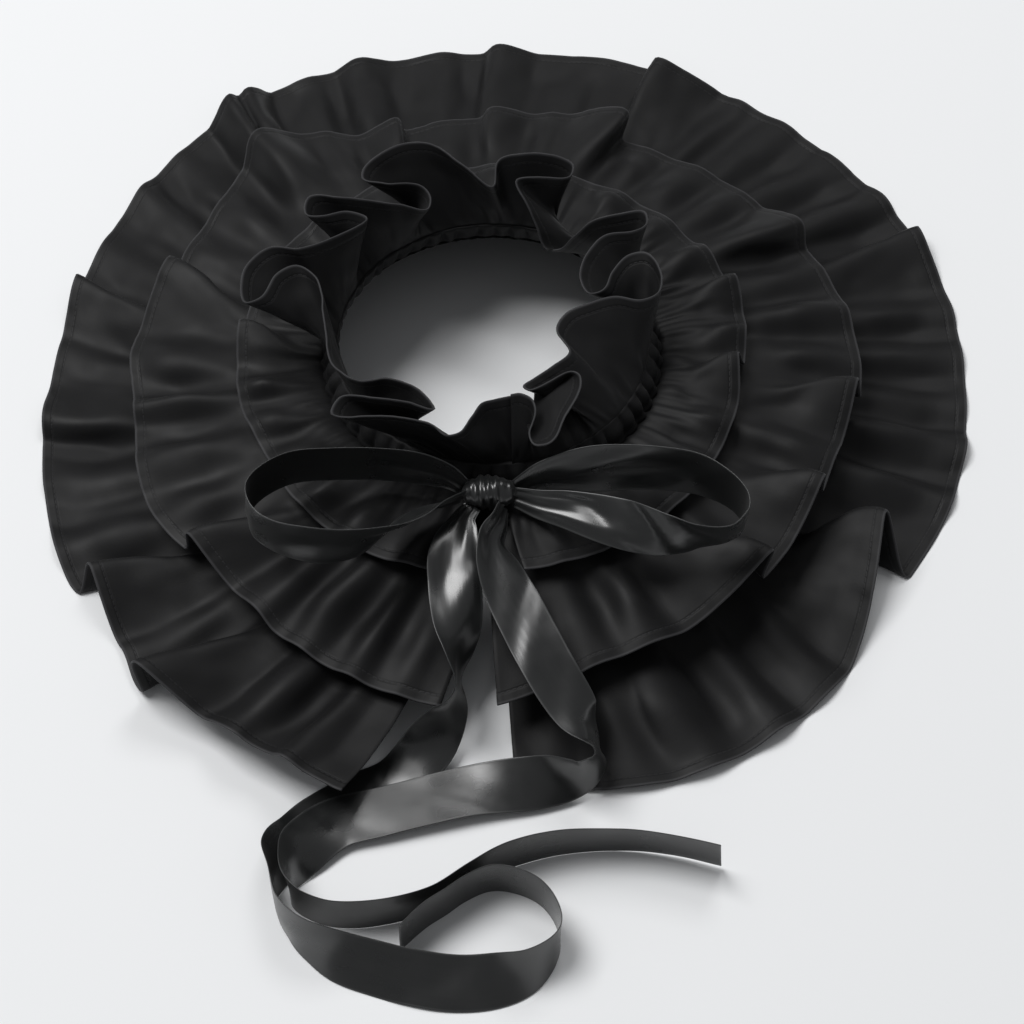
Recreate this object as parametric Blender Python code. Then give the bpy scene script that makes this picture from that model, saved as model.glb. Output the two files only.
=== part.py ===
"""Black flounced neck collar with a satin ribbon bow, lying on a flat surface.

Three gathered tiers of sateen hang from a shirred casing round the neck, and a
narrow ruffle stands on the casing. Two ribbon ends leave the casing at the front,
are tied in a bow, and trail forward over the surface.

Turns are in degrees round the neck: 0 is the front (-Y), 90 the wearer's right
side as laid (-X), 180 the back (+Y) and 270 the other side (+X). Lengths in the
tables are millimetres.
"""
import math
from bisect import bisect_right
from collections import namedtuple

import bmesh
import bpy
from mathutils import Vector

MM = 0.001

# Where the middle of the neck lies, so that the origin is under the middle of it all
NECK_X = -7.8
NECK_Y = 35.1

# Cloth and ribbon
CLOTH = 1.5
RIBBON_WALL = 1.0
# Lower than this, a point of the cloth lies on the floor
FLOOR_TOUCH = 0.35
# A fold that tips less than HEM_LEAN sinks towards the hem, by up to this share of its height
HEM_SETTLE = 0.62
HEM_SETTLE_FROM = 0.70
HEM_LEAN = 12.0

# Casing round the neck: a flat tube leaning inwards, drawn up into small gathers
CASING_LOW_RADIUS = 82.6
CASING_LOW_HEIGHT = 46.8
CASING_TOP_RADIUS = 77.0
CASING_TOP_HEIGHT = 60.3
CASING_GATHERS = 56
CASING_PUFF = 1.3
CASING_START = 0.4
CASING_END = 359.6

# Seam on the casing's lower edge where the tiers hang, top tier first
SEAM_RADIUS = 84.7
SEAM_STEP = 2.1
TOP_SEAM_HEIGHT = 47.4

# Neck ruffle: its foot stands on the casing, and its two front ends pass by each other
RUFFLE_START_RADIUS = 76.0
RUFFLE_END_RADIUS = 79.0
RUFFLE_FOOT_HEIGHT = 61.5
RUFFLE_FOOT_START = -11.0
RUFFLE_FOOT_END = 352.5

# Knot of the bow. Its back reaches down to the casing, out of which its ribbon comes.
KNOT = (-0.8, -94.6, 59.8)
KNOT_HALF = (13.2, 7.4, 8.0)
KNOT_BACK = 12.3
KNOT_BACK_DROP = 5.0
KNOT_PLEATS = 5
KNOT_PLEAT_DEPTH = 0.07

Hem = namedtuple("Hem", "turn radius lift")
Fold = namedtuple("Fold", "turn half height lean reach start")
Edge = namedtuple("Edge", "turn radius height")
Stop = namedtuple("Stop", "x y z roll width")
Tier = namedtuple("Tier", "seam_height hem_height flat_from sag crown seam_start seam_end hem folds")

# Hems of the three tiers, smoothed of their folds
OUTER_HEM = [
    Hem(16, 246, 25), Hem(26, 238, 22), Hem(36, 235, 14), Hem(44.5, 238, 3), Hem(51, 230, 2),
    Hem(58, 229, 1), Hem(63, 233, 0), Hem(78, 231, 0), Hem(97, 231, 0), Hem(115, 239, 0), Hem(131, 250, 0),
    Hem(150, 264, 0), Hem(176, 263, 0), Hem(200, 266, 0), Hem(222, 262, 0), Hem(245, 258, 0),
    Hem(266, 246, 0), Hem(284, 238, 0), Hem(300, 229, 0), Hem(318, 235, 1), Hem(335, 236, 3),
    Hem(348, 228, 2), Hem(357, 211, 2),
]
MIDDLE_HEM = [
    Hem(7, 193, -2), Hem(20, 189, 0), Hem(34, 183, 0), Hem(48, 177, 0), Hem(64, 185, -2),
    Hem(84, 181, -2), Hem(98, 186, -2), Hem(112, 182, 0), Hem(130, 190, 2), Hem(144, 204, 3),
    Hem(160, 183, 2), Hem(182, 186, 2), Hem(195, 192, 2), Hem(204, 182, 1), Hem(222, 186, 0),
    Hem(238, 188, 0), Hem(256, 189, 0), Hem(274, 186, 0), Hem(285, 178, 2), Hem(300, 178, 4),
    Hem(320, 180, 4), Hem(342, 178, 2), Hem(359, 190, -3),
]
TOP_HEM = [
    Hem(8, 131, 0), Hem(24, 133, 0), Hem(44, 130, 0), Hem(62, 126, 0), Hem(78, 128, 0),
    Hem(98, 127, 0), Hem(120, 129, 1), Hem(150, 130, 2), Hem(180, 129, 2), Hem(212, 129, 1),
    Hem(236, 130, 0), Hem(256, 131, 0), Hem(274, 126, 0), Hem(297, 126, 0), Hem(322, 129, 0),
    Hem(344, 130, 0), Hem(353, 130, 0),
]

# Folds, each a rounded ridge that grows from its start (share of the tier's depth)
# to the hem. A ridge with much lean tips over its neighbour.
OUTER_FOLDS = [
    Fold(22.5, 13, 9, 4, 0, 0.5), Fold(31, 18, 13, 0, 2, 0.45), Fold(39.5, 22, 20, 20, 2, 0.45),
    Fold(49, 14, 5, 0, -1, 0.4), Fold(56.5, 20, 17, 19, -6, 0.4), Fold(68, 20, 7, 3, 0, 0.3),
    Fold(79, 19, 6, -2, 0, 0.3), Fold(90, 22, 11, -8, 0, 0.25), Fold(100, 16, 4.5, 0, 0, 0.4),
    Fold(107, 18, 13, 15, 2, 0.3), Fold(118, 21, 6, 2, 0, 0.35), Fold(128, 19, 8, 4, 1, 0.3),
    Fold(136, 16, 4.5, 0, 0, 0.3), Fold(144.6, 15, 26, 5, 0, 0.5), Fold(148.4, 15, 23, -3, 0, 0.5),
    Fold(156.5, 15, 6, 0, 0, 0.4),
    Fold(163.5, 20, 11, -4, 2, 0.3), Fold(173, 20, 7, 2, 0, 0.3), Fold(182, 19, 9, -8, 1, 0.3),
    Fold(194, 22, 5, 0, 0, 0.35), Fold(204.6, 24, 13, -17, -1, 0.45), Fold(212.5, 16, 5, 0, 0, 0.35),
    Fold(218.5, 18, 7, 0, 1, 0.3), Fold(227, 17, 5, -2, 0, 0.3), Fold(235, 18, 9, 3, 1, 0.3),
    Fold(245.8, 21, 11, -14, 1, 0.45), Fold(254, 16, 6, 0, 1, 0.3), Fold(261.5, 18, 8, 0, 0, 0.3),
    Fold(269, 16, 5, 0, 0, 0.35), Fold(276.5, 18, 10, -4, 2, 0.25), Fold(284.5, 16, 7, -3, 1, 0.3),
    Fold(304.5, 34, 29, -40, -20, 0.5), Fold(316.5, 20, 8, 0, 0, 0.4), Fold(325, 20, 9, -3, 0, 0.35),
    Fold(334, 20, 8, 0, 1, 0.3), Fold(342.5, 17, 5, 0, 0, 0.4), Fold(351, 13, 3, 0, 0, 0.5),
]
MIDDLE_FOLDS = [
    Fold(13, 10, 3, 0, 0, 0.4), Fold(20.5, 11, 6, 0, 0, 0.3), Fold(29, 14, 7, 2, 0, 0.25),
    Fold(39, 17, 10, -4, 0, 0.3), Fold(50, 18, 13, 14, 1, 0.4), Fold(62, 17, 5, 0, 0, 0.35),
    Fold(72.5, 17, 7, 4, 0, 0.3), Fold(84, 11, 10, 3, 0, 0.25), Fold(95, 20, 7, 0, 1, 0.3),
    Fold(107.5, 20, 15, 18, 1, 0.35), Fold(119, 17, 5, 0, 0, 0.35), Fold(130, 16, 6, 0, 0, 0.35),
    Fold(143, 22, 19, -6, 3, 0.4), Fold(152.5, 12, 6, 0, 0, 0.45), Fold(160.5, 14, 12, 9, 0, 0.45),
    Fold(171, 17, 5, 0, 0, 0.4), Fold(182, 16, 9, -8, 0, 0.4), Fold(190, 12, 4, 0, 0, 0.45),
    Fold(197.5, 18, 15, 16, 1, 0.45), Fold(208, 13, 5, 0, 0, 0.45), Fold(217, 16, 6, 0, 0, 0.4),
    Fold(226, 15, 5, 0, 0, 0.4), Fold(236, 20, 16, 10, 2, 0.4), Fold(247, 14, 5, 0, 0, 0.4),
    Fold(256.5, 16, 9, -2, 1, 0.35), Fold(267, 15, 5, 0, 0, 0.4), Fold(278, 18, 14, -15, 0, 0.4),
    Fold(288, 18, 9, 0, 0, 0.35), Fold(300, 22, 18, -14, 0, 0.45), Fold(321, 26, 20, -26, 0, 0.45),
    Fold(334, 16, 5, 0, 0, 0.4), Fold(343.5, 14, 4, 0, 0, 0.45), Fold(352, 11, 2, 0, 0, 0.45),
]
TOP_FOLDS = [
    Fold(18, 11, 5, 0, 0, 0.2), Fold(31, 13, 6, 3, 0, 0.2), Fold(44, 12, 5, 0, 0, 0.2),
    Fold(57, 12, 5, 0, 0, 0.2), Fold(69, 11, 6, 0, 0, 0.2), Fold(80, 10, 8, 0, 0, 0.15),
    Fold(93, 14, 11, 10, 1, 0.25), Fold(107, 13, 6, 0, 0, 0.2), Fold(121, 14, 7, 0, 0, 0.2),
    Fold(136, 14, 5, 0, 0, 0.2), Fold(151, 13, 7, 0, 0, 0.2), Fold(166, 14, 6, 0, 0, 0.2),
    Fold(181, 14, 7, 0, 0, 0.2), Fold(196, 13, 5, 0, 0, 0.2), Fold(211, 14, 7, 0, 0, 0.2),
    Fold(225, 13, 6, 0, 0, 0.2), Fold(239, 14, 9, -4, 1, 0.2), Fold(252, 13, 11, -8, 2, 0.25),
    Fold(264, 11, 7, -3, 0, 0.25), Fold(277.5, 14, 11, -11, -3, 0.25), Fold(291, 13, 6, 0, 0, 0.2),
    Fold(304, 12, 6, 0, 0, 0.2), Fold(317, 12, 5, 0, 0, 0.2), Fold(331, 12, 5, 0, 0, 0.2),
    Fold(344, 10, 4, 0, 0, 0.2),
]

OUTER = Tier(TOP_SEAM_HEIGHT - 2 * SEAM_STEP, 0.5 * CLOTH, 0.90, 1.3, 0.0, 2, 358, OUTER_HEM, OUTER_FOLDS)
MIDDLE = Tier(TOP_SEAM_HEIGHT - SEAM_STEP, 27.0, 1.00, 1.0, 1.5, 2, 358, MIDDLE_HEM, MIDDLE_FOLDS)
TOP = Tier(TOP_SEAM_HEIGHT, 46.5, 1.00, 1.0, 3.0, 2, 358, TOP_HEM, TOP_FOLDS)

# Grids of the walls: columns along the hem, and shares of the depth for the rows
OUTER_COLUMNS = 224
OUTER_ROWS = (0.0, 0.30, 0.55, 0.76, 0.90, 1.0)
MIDDLE_COLUMNS = 168
MIDDLE_ROWS = (0.0, 0.34, 0.62, 0.83, 1.0)
TOP_COLUMNS = 112
TOP_ROWS = (0.0, 0.35, 0.70, 1.0)
RUFFLE_COLUMNS = 150
RUFFLE_ROWS = (0.0, 0.35, 0.70, 1.0)

# Upper edge of the neck ruffle, from its left front end round the back to its right one
RUFFLE_EDGE = [
    Edge(-9, 58, 87), Edge(-2, 60, 88), Edge(4, 65, 91), Edge(7, 74, 92), Edge(10, 83, 91),
    Edge(14, 86, 91), Edge(19, 83, 92), Edge(25, 84, 93), Edge(35, 90, 93), Edge(46, 104, 92),
    Edge(48, 95, 95), Edge(40, 87, 98), Edge(30, 80, 98), Edge(20, 77, 96), Edge(29, 70, 97),
    Edge(42, 73, 97), Edge(50, 82, 93), Edge(63, 86, 90), Edge(80, 82, 92), Edge(97, 86, 94),
    Edge(101, 97, 95), Edge(97, 106, 95), Edge(90, 112, 93), Edge(89, 121, 92), Edge(97, 122, 96),
    Edge(104, 113, 98), Edge(106, 98, 98), Edge(117, 84, 96), Edge(129, 80, 94), Edge(127, 90, 95),
    Edge(121, 98, 96), Edge(119, 106, 96), Edge(124, 110, 98), Edge(128, 98, 99), Edge(133, 87, 98),
    Edge(141, 73, 97), Edge(150, 65, 94), Edge(154, 71, 96), Edge(152, 79, 98), Edge(142, 87, 100),
    Edge(138, 96, 100), Edge(141, 102, 100), Edge(148, 104, 102), Edge(155, 104, 102), Edge(162, 98, 102),
    Edge(171, 82, 98), Edge(180, 74, 92), Edge(182, 86, 98), Edge(189, 90, 100), Edge(198, 93, 100),
    Edge(206, 93, 98), Edge(207, 85, 97), Edge(196, 79, 97), Edge(189, 76, 95), Edge(194, 68, 90),
    Edge(201, 62, 80), Edge(208, 58, 70), Edge(214, 62, 70), Edge(218, 66, 78), Edge(223, 74, 88),
    Edge(229, 86, 91), Edge(233, 95, 92), Edge(238, 91, 92), Edge(238, 82, 92), Edge(234, 70, 92),
    Edge(236, 58, 90), Edge(245, 48, 87), Edge(259, 48, 85), Edge(259, 56, 86), Edge(251, 63, 88),
    Edge(247, 73, 91), Edge(249, 82, 92), Edge(258, 85, 92), Edge(267, 82, 92), Edge(271, 73, 92),
    Edge(269, 60, 92), Edge(274, 46, 91), Edge(283, 37, 90), Edge(299, 36, 88), Edge(308, 48, 87),
    Edge(322, 48, 86), Edge(336, 50, 86), Edge(343, 53, 87), Edge(341, 58, 89), Edge(331, 58, 90),
    Edge(320, 60, 91), Edge(319, 66, 92), Edge(325, 74, 92), Edge(335, 84, 92), Edge(342, 94, 92),
    Edge(347, 94, 92), Edge(348, 86, 92), Edge(344, 76, 92), Edge(343, 67, 93), Edge(347, 62, 93),
    Edge(351, 61, 92),
]

# Ribbon routes. Roll 0 lies flat and 90 stands on edge.
LEFT_LOOP = [
    Stop(-13.6, -91.8, 61.8, 78, 11), Stop(-22, -89.2, 66.5, 84, 18), Stop(-36, -87, 70, 88, 24),
    Stop(-54.9, -86.2, 72, 90, 25), Stop(-74.8, -86.2, 72, 90, 25), Stop(-95, -88.6, 72, 90, 25),
    Stop(-108, -96.8, 72, 90, 25), Stop(-114, -107.4, 72, 90, 25), Stop(-111, -119.5, 72, 92, 25),
    Stop(-100, -128.5, 72, 92, 25), Stop(-84, -133, 72, 95, 25), Stop(-69.7, -132.8, 71, 90, 25),
    Stop(-56, -129, 71, 76, 25), Stop(-45, -121.5, 70.5, 54, 24), Stop(-34.5, -113.5, 69.5, 44, 21),
    Stop(-25, -106, 66, 60, 16), Stop(-13.4, -97.6, 61.3, 78, 11),
]
RIGHT_LOOP = [
    Stop(12.0, -92.8, 61.6, 105, 10), Stop(26, -90.6, 67.5, 108, 19), Stop(46.9, -89.7, 72.5, 112, 25),
    Stop(70.4, -90.8, 75.5, 110, 25), Stop(94, -94.5, 76.5, 104, 25), Stop(110, -102.5, 76, 96, 25),
    Stop(118.2, -112, 74.5, 92, 25), Stop(118.6, -120.1, 73, 96, 25), Stop(111, -126, 71, 106, 25),
    Stop(96, -127, 70, 108, 25), Stop(82, -125.8, 69.5, 98, 25), Stop(67, -121, 69, 84, 24),
    Stop(51.3, -115, 68, 72, 22), Stop(36, -109, 66.5, 60, 18), Stop(23, -104.5, 64.5, 55, 14),
    Stop(11.4, -97.9, 61.2, 60, 10),
]
LEFT_TAIL = [
    Stop(-8.6, -100.1, 57.0, -5, 9), Stop(-13, -106, 55.6, -12, 13), Stop(-15, -112.5, 55.2, -6, 18),
    Stop(-16.5, -120, 54.6, 4, 22), Stop(-17.3, -128, 53.3, 8, 25), Stop(-16.8, -140, 50.5, 0, 25),
    Stop(-15.4, -157, 45, 22, 25),
    Stop(-14.7, -171.8, 38, 62, 25), Stop(-15.1, -183.2, 30, 90, 25), Stop(-18, -192, 22, 70, 25),
    Stop(-26, -202.5, 14, 40, 25), Stop(-36, -211.5, 6, 10, 25), Stop(-46, -218.5, 1, 0, 25),
    Stop(-62, -226.5, 1, 0, 25), Stop(-79, -237.5, 1, 0, 25), Stop(-87.5, -247.5, 2.5, 10, 25),
    Stop(-96, -262.5, 8, 48, 25), Stop(-97.5, -277, 12, 85, 25), Stop(-94.5, -289.5, 12, 90, 25),
    Stop(-87.5, -299, 12, 97, 25), Stop(-77.5, -306.5, 10, 112, 25), Stop(-65.6, -312.5, 8.5, 130, 25),
    Stop(-49, -317.5, 8, 140, 25), Stop(-35, -321, 8, 146, 25), Stop(-17.3, -323.5, 7, 150, 25),
    Stop(0.3, -323.5, 8, 140, 25), Stop(16, -320.5, 10, 118, 25), Stop(27.6, -311.5, 12, 97, 25),
    Stop(31.7, -303, 12, 90, 25), Stop(29.6, -291.7, 12, 90, 25), Stop(22.5, -281.7, 12, 90, 25),
    Stop(11.3, -276, 12, 90, 25), Stop(0.1, -275, 12, 90, 25), Stop(-11, -280, 12, 90, 25),
    Stop(-19.5, -286.5, 12, 90, 25), Stop(-29, -293.5, 12, 90, 25), Stop(-39.6, -304.5, 12, 90, 25),
]
RIGHT_TAIL = [
    Stop(6.0, -101.6, 58.6, 65, 10), Stop(4, -110.5, 58.5, 60, 14), Stop(0.5, -119, 57, 50, 18),
    Stop(2.5, -129, 55, 30, 23), Stop(8.5, -144, 51.5, 10, 25), Stop(17.8, -163.8, 47.5, 2, 25),
    Stop(29, -185, 42, 0, 25), Stop(40, -201, 34.5, 15, 25), Stop(47, -209.5, 27, 58, 25),
    Stop(49.5, -217.5, 22, 82, 25), Stop(43, -223.5, 17, 80, 25), Stop(25, -224.5, 12, 45, 25),
    Stop(-4.8, -226, 8, 10, 25), Stop(-27.9, -231, 7, 3, 25), Stop(-50.9, -237, 6, 2, 25),
    Stop(-71, -243, 6, 8, 25), Stop(-84.5, -256.5, 9, 30, 25), Stop(-90.5, -270, 12, 68, 25),
    Stop(-90, -281, 12, 88, 25), Stop(-83, -288, 12, 90, 25), Stop(-69, -292.8, 12, 90, 25),
    Stop(-48.8, -292, 12, 90, 25), Stop(-26.7, -285.5, 12, 90, 25), Stop(-8.9, -273.5, 12, 90, 25),
    Stop(9.1, -263, 12, 90, 25), Stop(31.8, -256.8, 12, 88, 25), Stop(59, -255.3, 13, 84, 25),
    Stop(81.6, -258.3, 14, 82, 25), Stop(104.3, -264.5, 15, 82, 25),
]
LOOP_COLUMNS = 34
TAIL_COLUMNS = 84

# Colours, roughness
SATEEN = ((0.018, 0.018, 0.020, 1.0), 0.62)
CASING_CLOTH = ((0.014, 0.014, 0.016, 1.0), 0.70)
SATIN = ((0.020, 0.021, 0.022, 1.0), 0.28)


def clear_scene():
    """Remove every object that the file holds."""
    for item in list(bpy.data.objects):
        bpy.data.objects.remove(item, do_unlink=True)


def smooth_read(keys, values, at):
    """Smooth curve through a table's rows, read at one key."""
    last = len(keys) - 1
    i = min(max(bisect_right(keys, at) - 1, 0), last - 1)
    before, after = max(i - 1, 0), min(i + 2, last)
    span = keys[i + 1] - keys[i]
    slope_a = (values[i + 1] - values[before]) / (keys[i + 1] - keys[before])
    slope_b = (values[after] - values[i]) / (keys[after] - keys[i])
    t = (at - keys[i]) / span
    a, b = values[i], values[i + 1]
    return (a * (2 * t**3 - 3 * t**2 + 1) + slope_a * span * (t**3 - 2 * t**2 + t)
            + b * (3 * t**2 - 2 * t**3) + slope_b * span * (t**3 - t**2))


def path_lengths(points):
    """Distance along a chain of points, at each of them."""
    lengths = [0.0]
    for a, b in zip(points, points[1:]):
        lengths.append(lengths[-1] + (b - a).length)
    return lengths


def even_keys(keys, points, count):
    """Keys of a sampled curve at which its length is cut into equal steps."""
    lengths = path_lengths(points)
    found = []
    for k in range(count + 1):
        goal = lengths[-1] * k / count
        i = min(max(bisect_right(lengths, goal) - 1, 0), len(keys) - 2)
        share = (goal - lengths[i]) / (lengths[i + 1] - lengths[i])
        found.append(keys[i] + min(share, 1.0) * (keys[i + 1] - keys[i]))
    return found


def ring_point(turn, radius, height):
    """Point at a turn, radius and height round the neck, in mm."""
    angle = math.radians(turn)
    return Vector((-radius * math.sin(angle), -radius * math.cos(angle), height))


def ease(share):
    """Smooth rise from 0 to 1."""
    share = min(max(share, 0.0), 1.0)
    return share * share * (3.0 - 2.0 * share)


def tier_point(tier, turn, depth):
    """Point on a tier's cloth: turn along its hem, and depth from seam (0) to hem (1)."""
    turns = [row.turn for row in tier.hem]
    hem_radius = smooth_read(turns, [row.radius for row in tier.hem], turn)
    lift = smooth_read(turns, [row.lift for row in tier.hem], turn)
    share = (turn - turns[0]) / (turns[-1] - turns[0])
    seam_turn = tier.seam_start + share * (tier.seam_end - tier.seam_start)

    radius = SEAM_RADIUS + (hem_radius - SEAM_RADIUS) * depth
    now = seam_turn + (turn - seam_turn) * depth**0.8
    fall = max(0.0, 1.0 - depth / tier.flat_from) ** tier.sag
    height = tier.hem_height + (tier.seam_height - tier.hem_height) * fall
    height += lift * depth**2 + 4.0 * tier.crown * depth * (1.0 - depth)

    for fold in tier.folds:
        across = math.radians(turn - fold.turn) * hem_radius / fold.half
        if abs(across) < 1.0:
            bump = 0.5 + 0.5 * math.cos(math.pi * across)
            bump *= ease((depth - fold.start) / (1.0 - fold.start))
            settle = HEM_SETTLE * max(0.0, 1.0 - abs(fold.lean) / HEM_LEAN)
            bump *= 1.0 - settle * ease((depth - HEM_SETTLE_FROM) / (1.0 - HEM_SETTLE_FROM))
            height += fold.height * bump
            radius += fold.reach * bump
            now += math.degrees(fold.lean * bump / radius)
    return ring_point(now, radius, max(height, 0.5 * CLOTH))


def tier_grid(tier, columns, rows):
    """Grid of a tier's points, its columns evenly spaced along the folded hem."""
    first, last = tier.hem[0].turn, tier.hem[-1].turn
    fine = 8 * columns
    turns = [first + (last - first) * k / fine for k in range(fine + 1)]
    hem = [tier_point(tier, turn, 1.0) for turn in turns]
    return [[tier_point(tier, turn, depth) for depth in rows] for turn in even_keys(turns, hem, columns)]


def ruffle_grid():
    """Grid of the neck ruffle: gathered foot below, winding edge above."""
    edge = [ring_point(row.turn, row.radius, row.height) for row in RUFFLE_EDGE]
    lengths = path_lengths(edge)
    fine = 8 * RUFFLE_COLUMNS
    keys = [lengths[-1] * k / fine for k in range(fine + 1)]
    curve = [smooth_read(lengths, edge, key) for key in keys]
    grid = []
    for k, key in enumerate(even_keys(keys, curve, RUFFLE_COLUMNS)):
        share = k / RUFFLE_COLUMNS
        turn = RUFFLE_FOOT_START + (RUFFLE_FOOT_END - RUFFLE_FOOT_START) * share
        radius = RUFFLE_START_RADIUS + (RUFFLE_END_RADIUS - RUFFLE_START_RADIUS) * share
        foot = ring_point(turn, radius, RUFFLE_FOOT_HEIGHT)
        top = smooth_read(lengths, edge, key)
        column = []
        for depth in RUFFLE_ROWS:
            point = foot.lerp(top, depth**1.25)
            point.z = foot.z + (top.z - foot.z) * depth
            column.append(point)
        grid.append(column)
    return grid


def ribbon_grid(stops, columns):
    """Grid of a ribbon two points wide, turned about its middle line by the stops' roll."""
    middle = [Vector((stop.x, stop.y, stop.z)) for stop in stops]
    lengths = path_lengths(middle)
    grid = []
    for k in range(columns + 1):
        at = lengths[-1] * k / columns
        ahead = smooth_read(lengths, middle, min(at + 1.0, lengths[-1]))
        behind = smooth_read(lengths, middle, max(at - 1.0, 0.0))
        along = (ahead - behind).normalized()
        side = along.cross(Vector((0.0, 0.0, 1.0))).normalized()
        rise = side.cross(along)
        roll = math.radians(smooth_read(lengths, [stop.roll for stop in stops], at))
        half = 0.5 * smooth_read(lengths, [stop.width for stop in stops], at)
        across = (side * math.cos(roll) + rise * math.sin(roll)) * half
        point = smooth_read(lengths, middle, at)
        lowest = 0.5 * RIBBON_WALL + abs(across.z)
        point.z = max(point.z, lowest)
        grid.append([point - across, point + across])
    return grid


def grid_normal(grid, i, j):
    """Direction out of a grid's face at one of its points."""
    along = grid[min(i + 1, len(grid) - 1)][j] - grid[max(i - 1, 0)][j]
    down = grid[i][min(j + 1, len(grid[i]) - 1)] - grid[i][max(j - 1, 0)]
    return down.cross(along).normalized()


def finish(name, points, faces, look):
    """Object from points in mm round the neck, shaded smooth, with its own material."""
    mesh = bpy.data.meshes.new(name)
    shift = Vector((NECK_X, NECK_Y, 0.0))
    mesh.from_pydata([(point + shift) * MM for point in points], [], faces)
    item = bpy.data.objects.new(name, mesh)
    bpy.context.collection.objects.link(item)

    work = bmesh.new()
    work.from_mesh(mesh)
    bmesh.ops.recalc_face_normals(work, faces=work.faces)
    bmesh.ops.triangulate(work, faces=work.faces, quad_method="SHORT_EDGE")
    work.to_mesh(mesh)
    work.free()
    mesh.shade_smooth()
    mesh.set_sharp_from_angle(angle=math.radians(60.0))

    colour, roughness = look
    material = bpy.data.materials.new(name)
    material.use_nodes = True
    shader = material.node_tree.nodes["Principled BSDF"]
    shader.inputs["Base Color"].default_value = colour
    shader.inputs["Roughness"].default_value = roughness
    shader.inputs["Metallic"].default_value = 0.0
    mesh.materials.append(material)
    return item


def wall(name, grid, thick, look):
    """One closed cloth wall, half its thickness to each side of the grid."""
    columns, rows = len(grid), len(grid[0])
    points = []
    for side in (0.5, -0.5):
        for i in range(columns):
            for j in range(rows):
                point = grid[i][j] + grid_normal(grid, i, j) * (thick * side)
                if point.z < FLOOR_TOUCH:
                    point.z = 0.0
                points.append(point)

    def at(face, i, j):
        return (face * columns + i) * rows + j

    faces = []
    for i in range(columns - 1):
        for j in range(rows - 1):
            faces.append((at(0, i, j), at(0, i, j + 1), at(0, i + 1, j + 1), at(0, i + 1, j)))
            faces.append((at(1, i, j), at(1, i + 1, j), at(1, i + 1, j + 1), at(1, i, j + 1)))
        for j in (0, rows - 1):
            faces.append((at(0, i, j), at(0, i + 1, j), at(1, i + 1, j), at(1, i, j)))
    for j in range(rows - 1):
        for i in (0, columns - 1):
            faces.append((at(0, i, j), at(1, i, j), at(1, i, j + 1), at(0, i, j + 1)))
    return finish(name, points, faces, look)


def casing():
    """The shirred casing: a flat tube whose gathers stand out and sink in by turns."""
    low = Vector((CASING_LOW_RADIUS, CASING_LOW_HEIGHT))
    top = Vector((CASING_TOP_RADIUS, CASING_TOP_HEIGHT))
    up = (top - low).normalized()
    out = Vector((up.y, -up.x))
    # Share of the height, distance out of the middle, share of the puff
    section = ((0.0, 1.0, 0.4), (0.12, 3.3, 0.4), (0.5, 2.4, 1.0), (1.0, 0.9, 0.2),
               (1.04, -0.9, -0.2), (0.5, -1.9, -1.0), (0.0, -1.1, -0.6))
    steps = 2 * CASING_GATHERS
    points, faces = [], []
    for k in range(steps + 1):
        turn = CASING_START + (CASING_END - CASING_START) * k / steps
        puff = CASING_PUFF * (0.5 if k % 2 else -0.5)
        for share, offset, part in section:
            place = low.lerp(top, share) + out * (offset + part * puff)
            points.append(ring_point(turn, place.x, place.y))
    size = len(section)
    for k in range(steps):
        for s in range(size):
            a, b = k * size + s, k * size + (s + 1) % size
            faces.append((a, b, b + size, a + size))
    faces.append(tuple(range(size)))
    faces.append(tuple(steps * size + s for s in range(size)))
    return finish("neck_band", points, faces, CASING_CLOTH)


def knot():
    """The bow's knot: a small pleated lump."""
    work = bmesh.new()
    bmesh.ops.create_uvsphere(work, u_segments=16, v_segments=9, radius=1.0)
    centre = Vector(KNOT)
    points = []
    for vert in work.verts:
        angle = math.atan2(vert.co.z, vert.co.y)
        swell = 1.0 - KNOT_PLEAT_DEPTH * (0.5 - 0.5 * math.cos(KNOT_PLEATS * angle))
        point = Vector([swell * c * half for c, half in zip(vert.co, KNOT_HALF)])
        if vert.co.y > 0.0:
            point.y *= KNOT_BACK / KNOT_HALF[1]
            point.z -= KNOT_BACK_DROP * vert.co.y**2
        points.append(centre + point)
    work.verts.index_update()
    faces = [[vert.index for vert in face.verts] for face in work.faces]
    work.free()
    return finish("bow_knot", points, faces, SATIN)


def build():
    """Make every piece of the collar."""
    clear_scene()
    wall("outer_tier", tier_grid(OUTER, OUTER_COLUMNS, OUTER_ROWS), CLOTH, SATEEN)
    wall("middle_tier", tier_grid(MIDDLE, MIDDLE_COLUMNS, MIDDLE_ROWS), CLOTH, SATEEN)
    wall("top_tier", tier_grid(TOP, TOP_COLUMNS, TOP_ROWS), CLOTH, SATEEN)
    wall("neck_ruffle", ruffle_grid(), CLOTH, SATEEN)
    casing()
    knot()
    wall("bow_loop_left", ribbon_grid(LEFT_LOOP, LOOP_COLUMNS), RIBBON_WALL, SATIN)
    wall("bow_loop_right", ribbon_grid(RIGHT_LOOP, LOOP_COLUMNS), RIBBON_WALL, SATIN)
    wall("tail_left", ribbon_grid(LEFT_TAIL, TAIL_COLUMNS), RIBBON_WALL, SATIN)
    wall("tail_right", ribbon_grid(RIGHT_TAIL, TAIL_COLUMNS), RIBBON_WALL, SATIN)


build()
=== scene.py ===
import math
from collections import namedtuple

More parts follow.
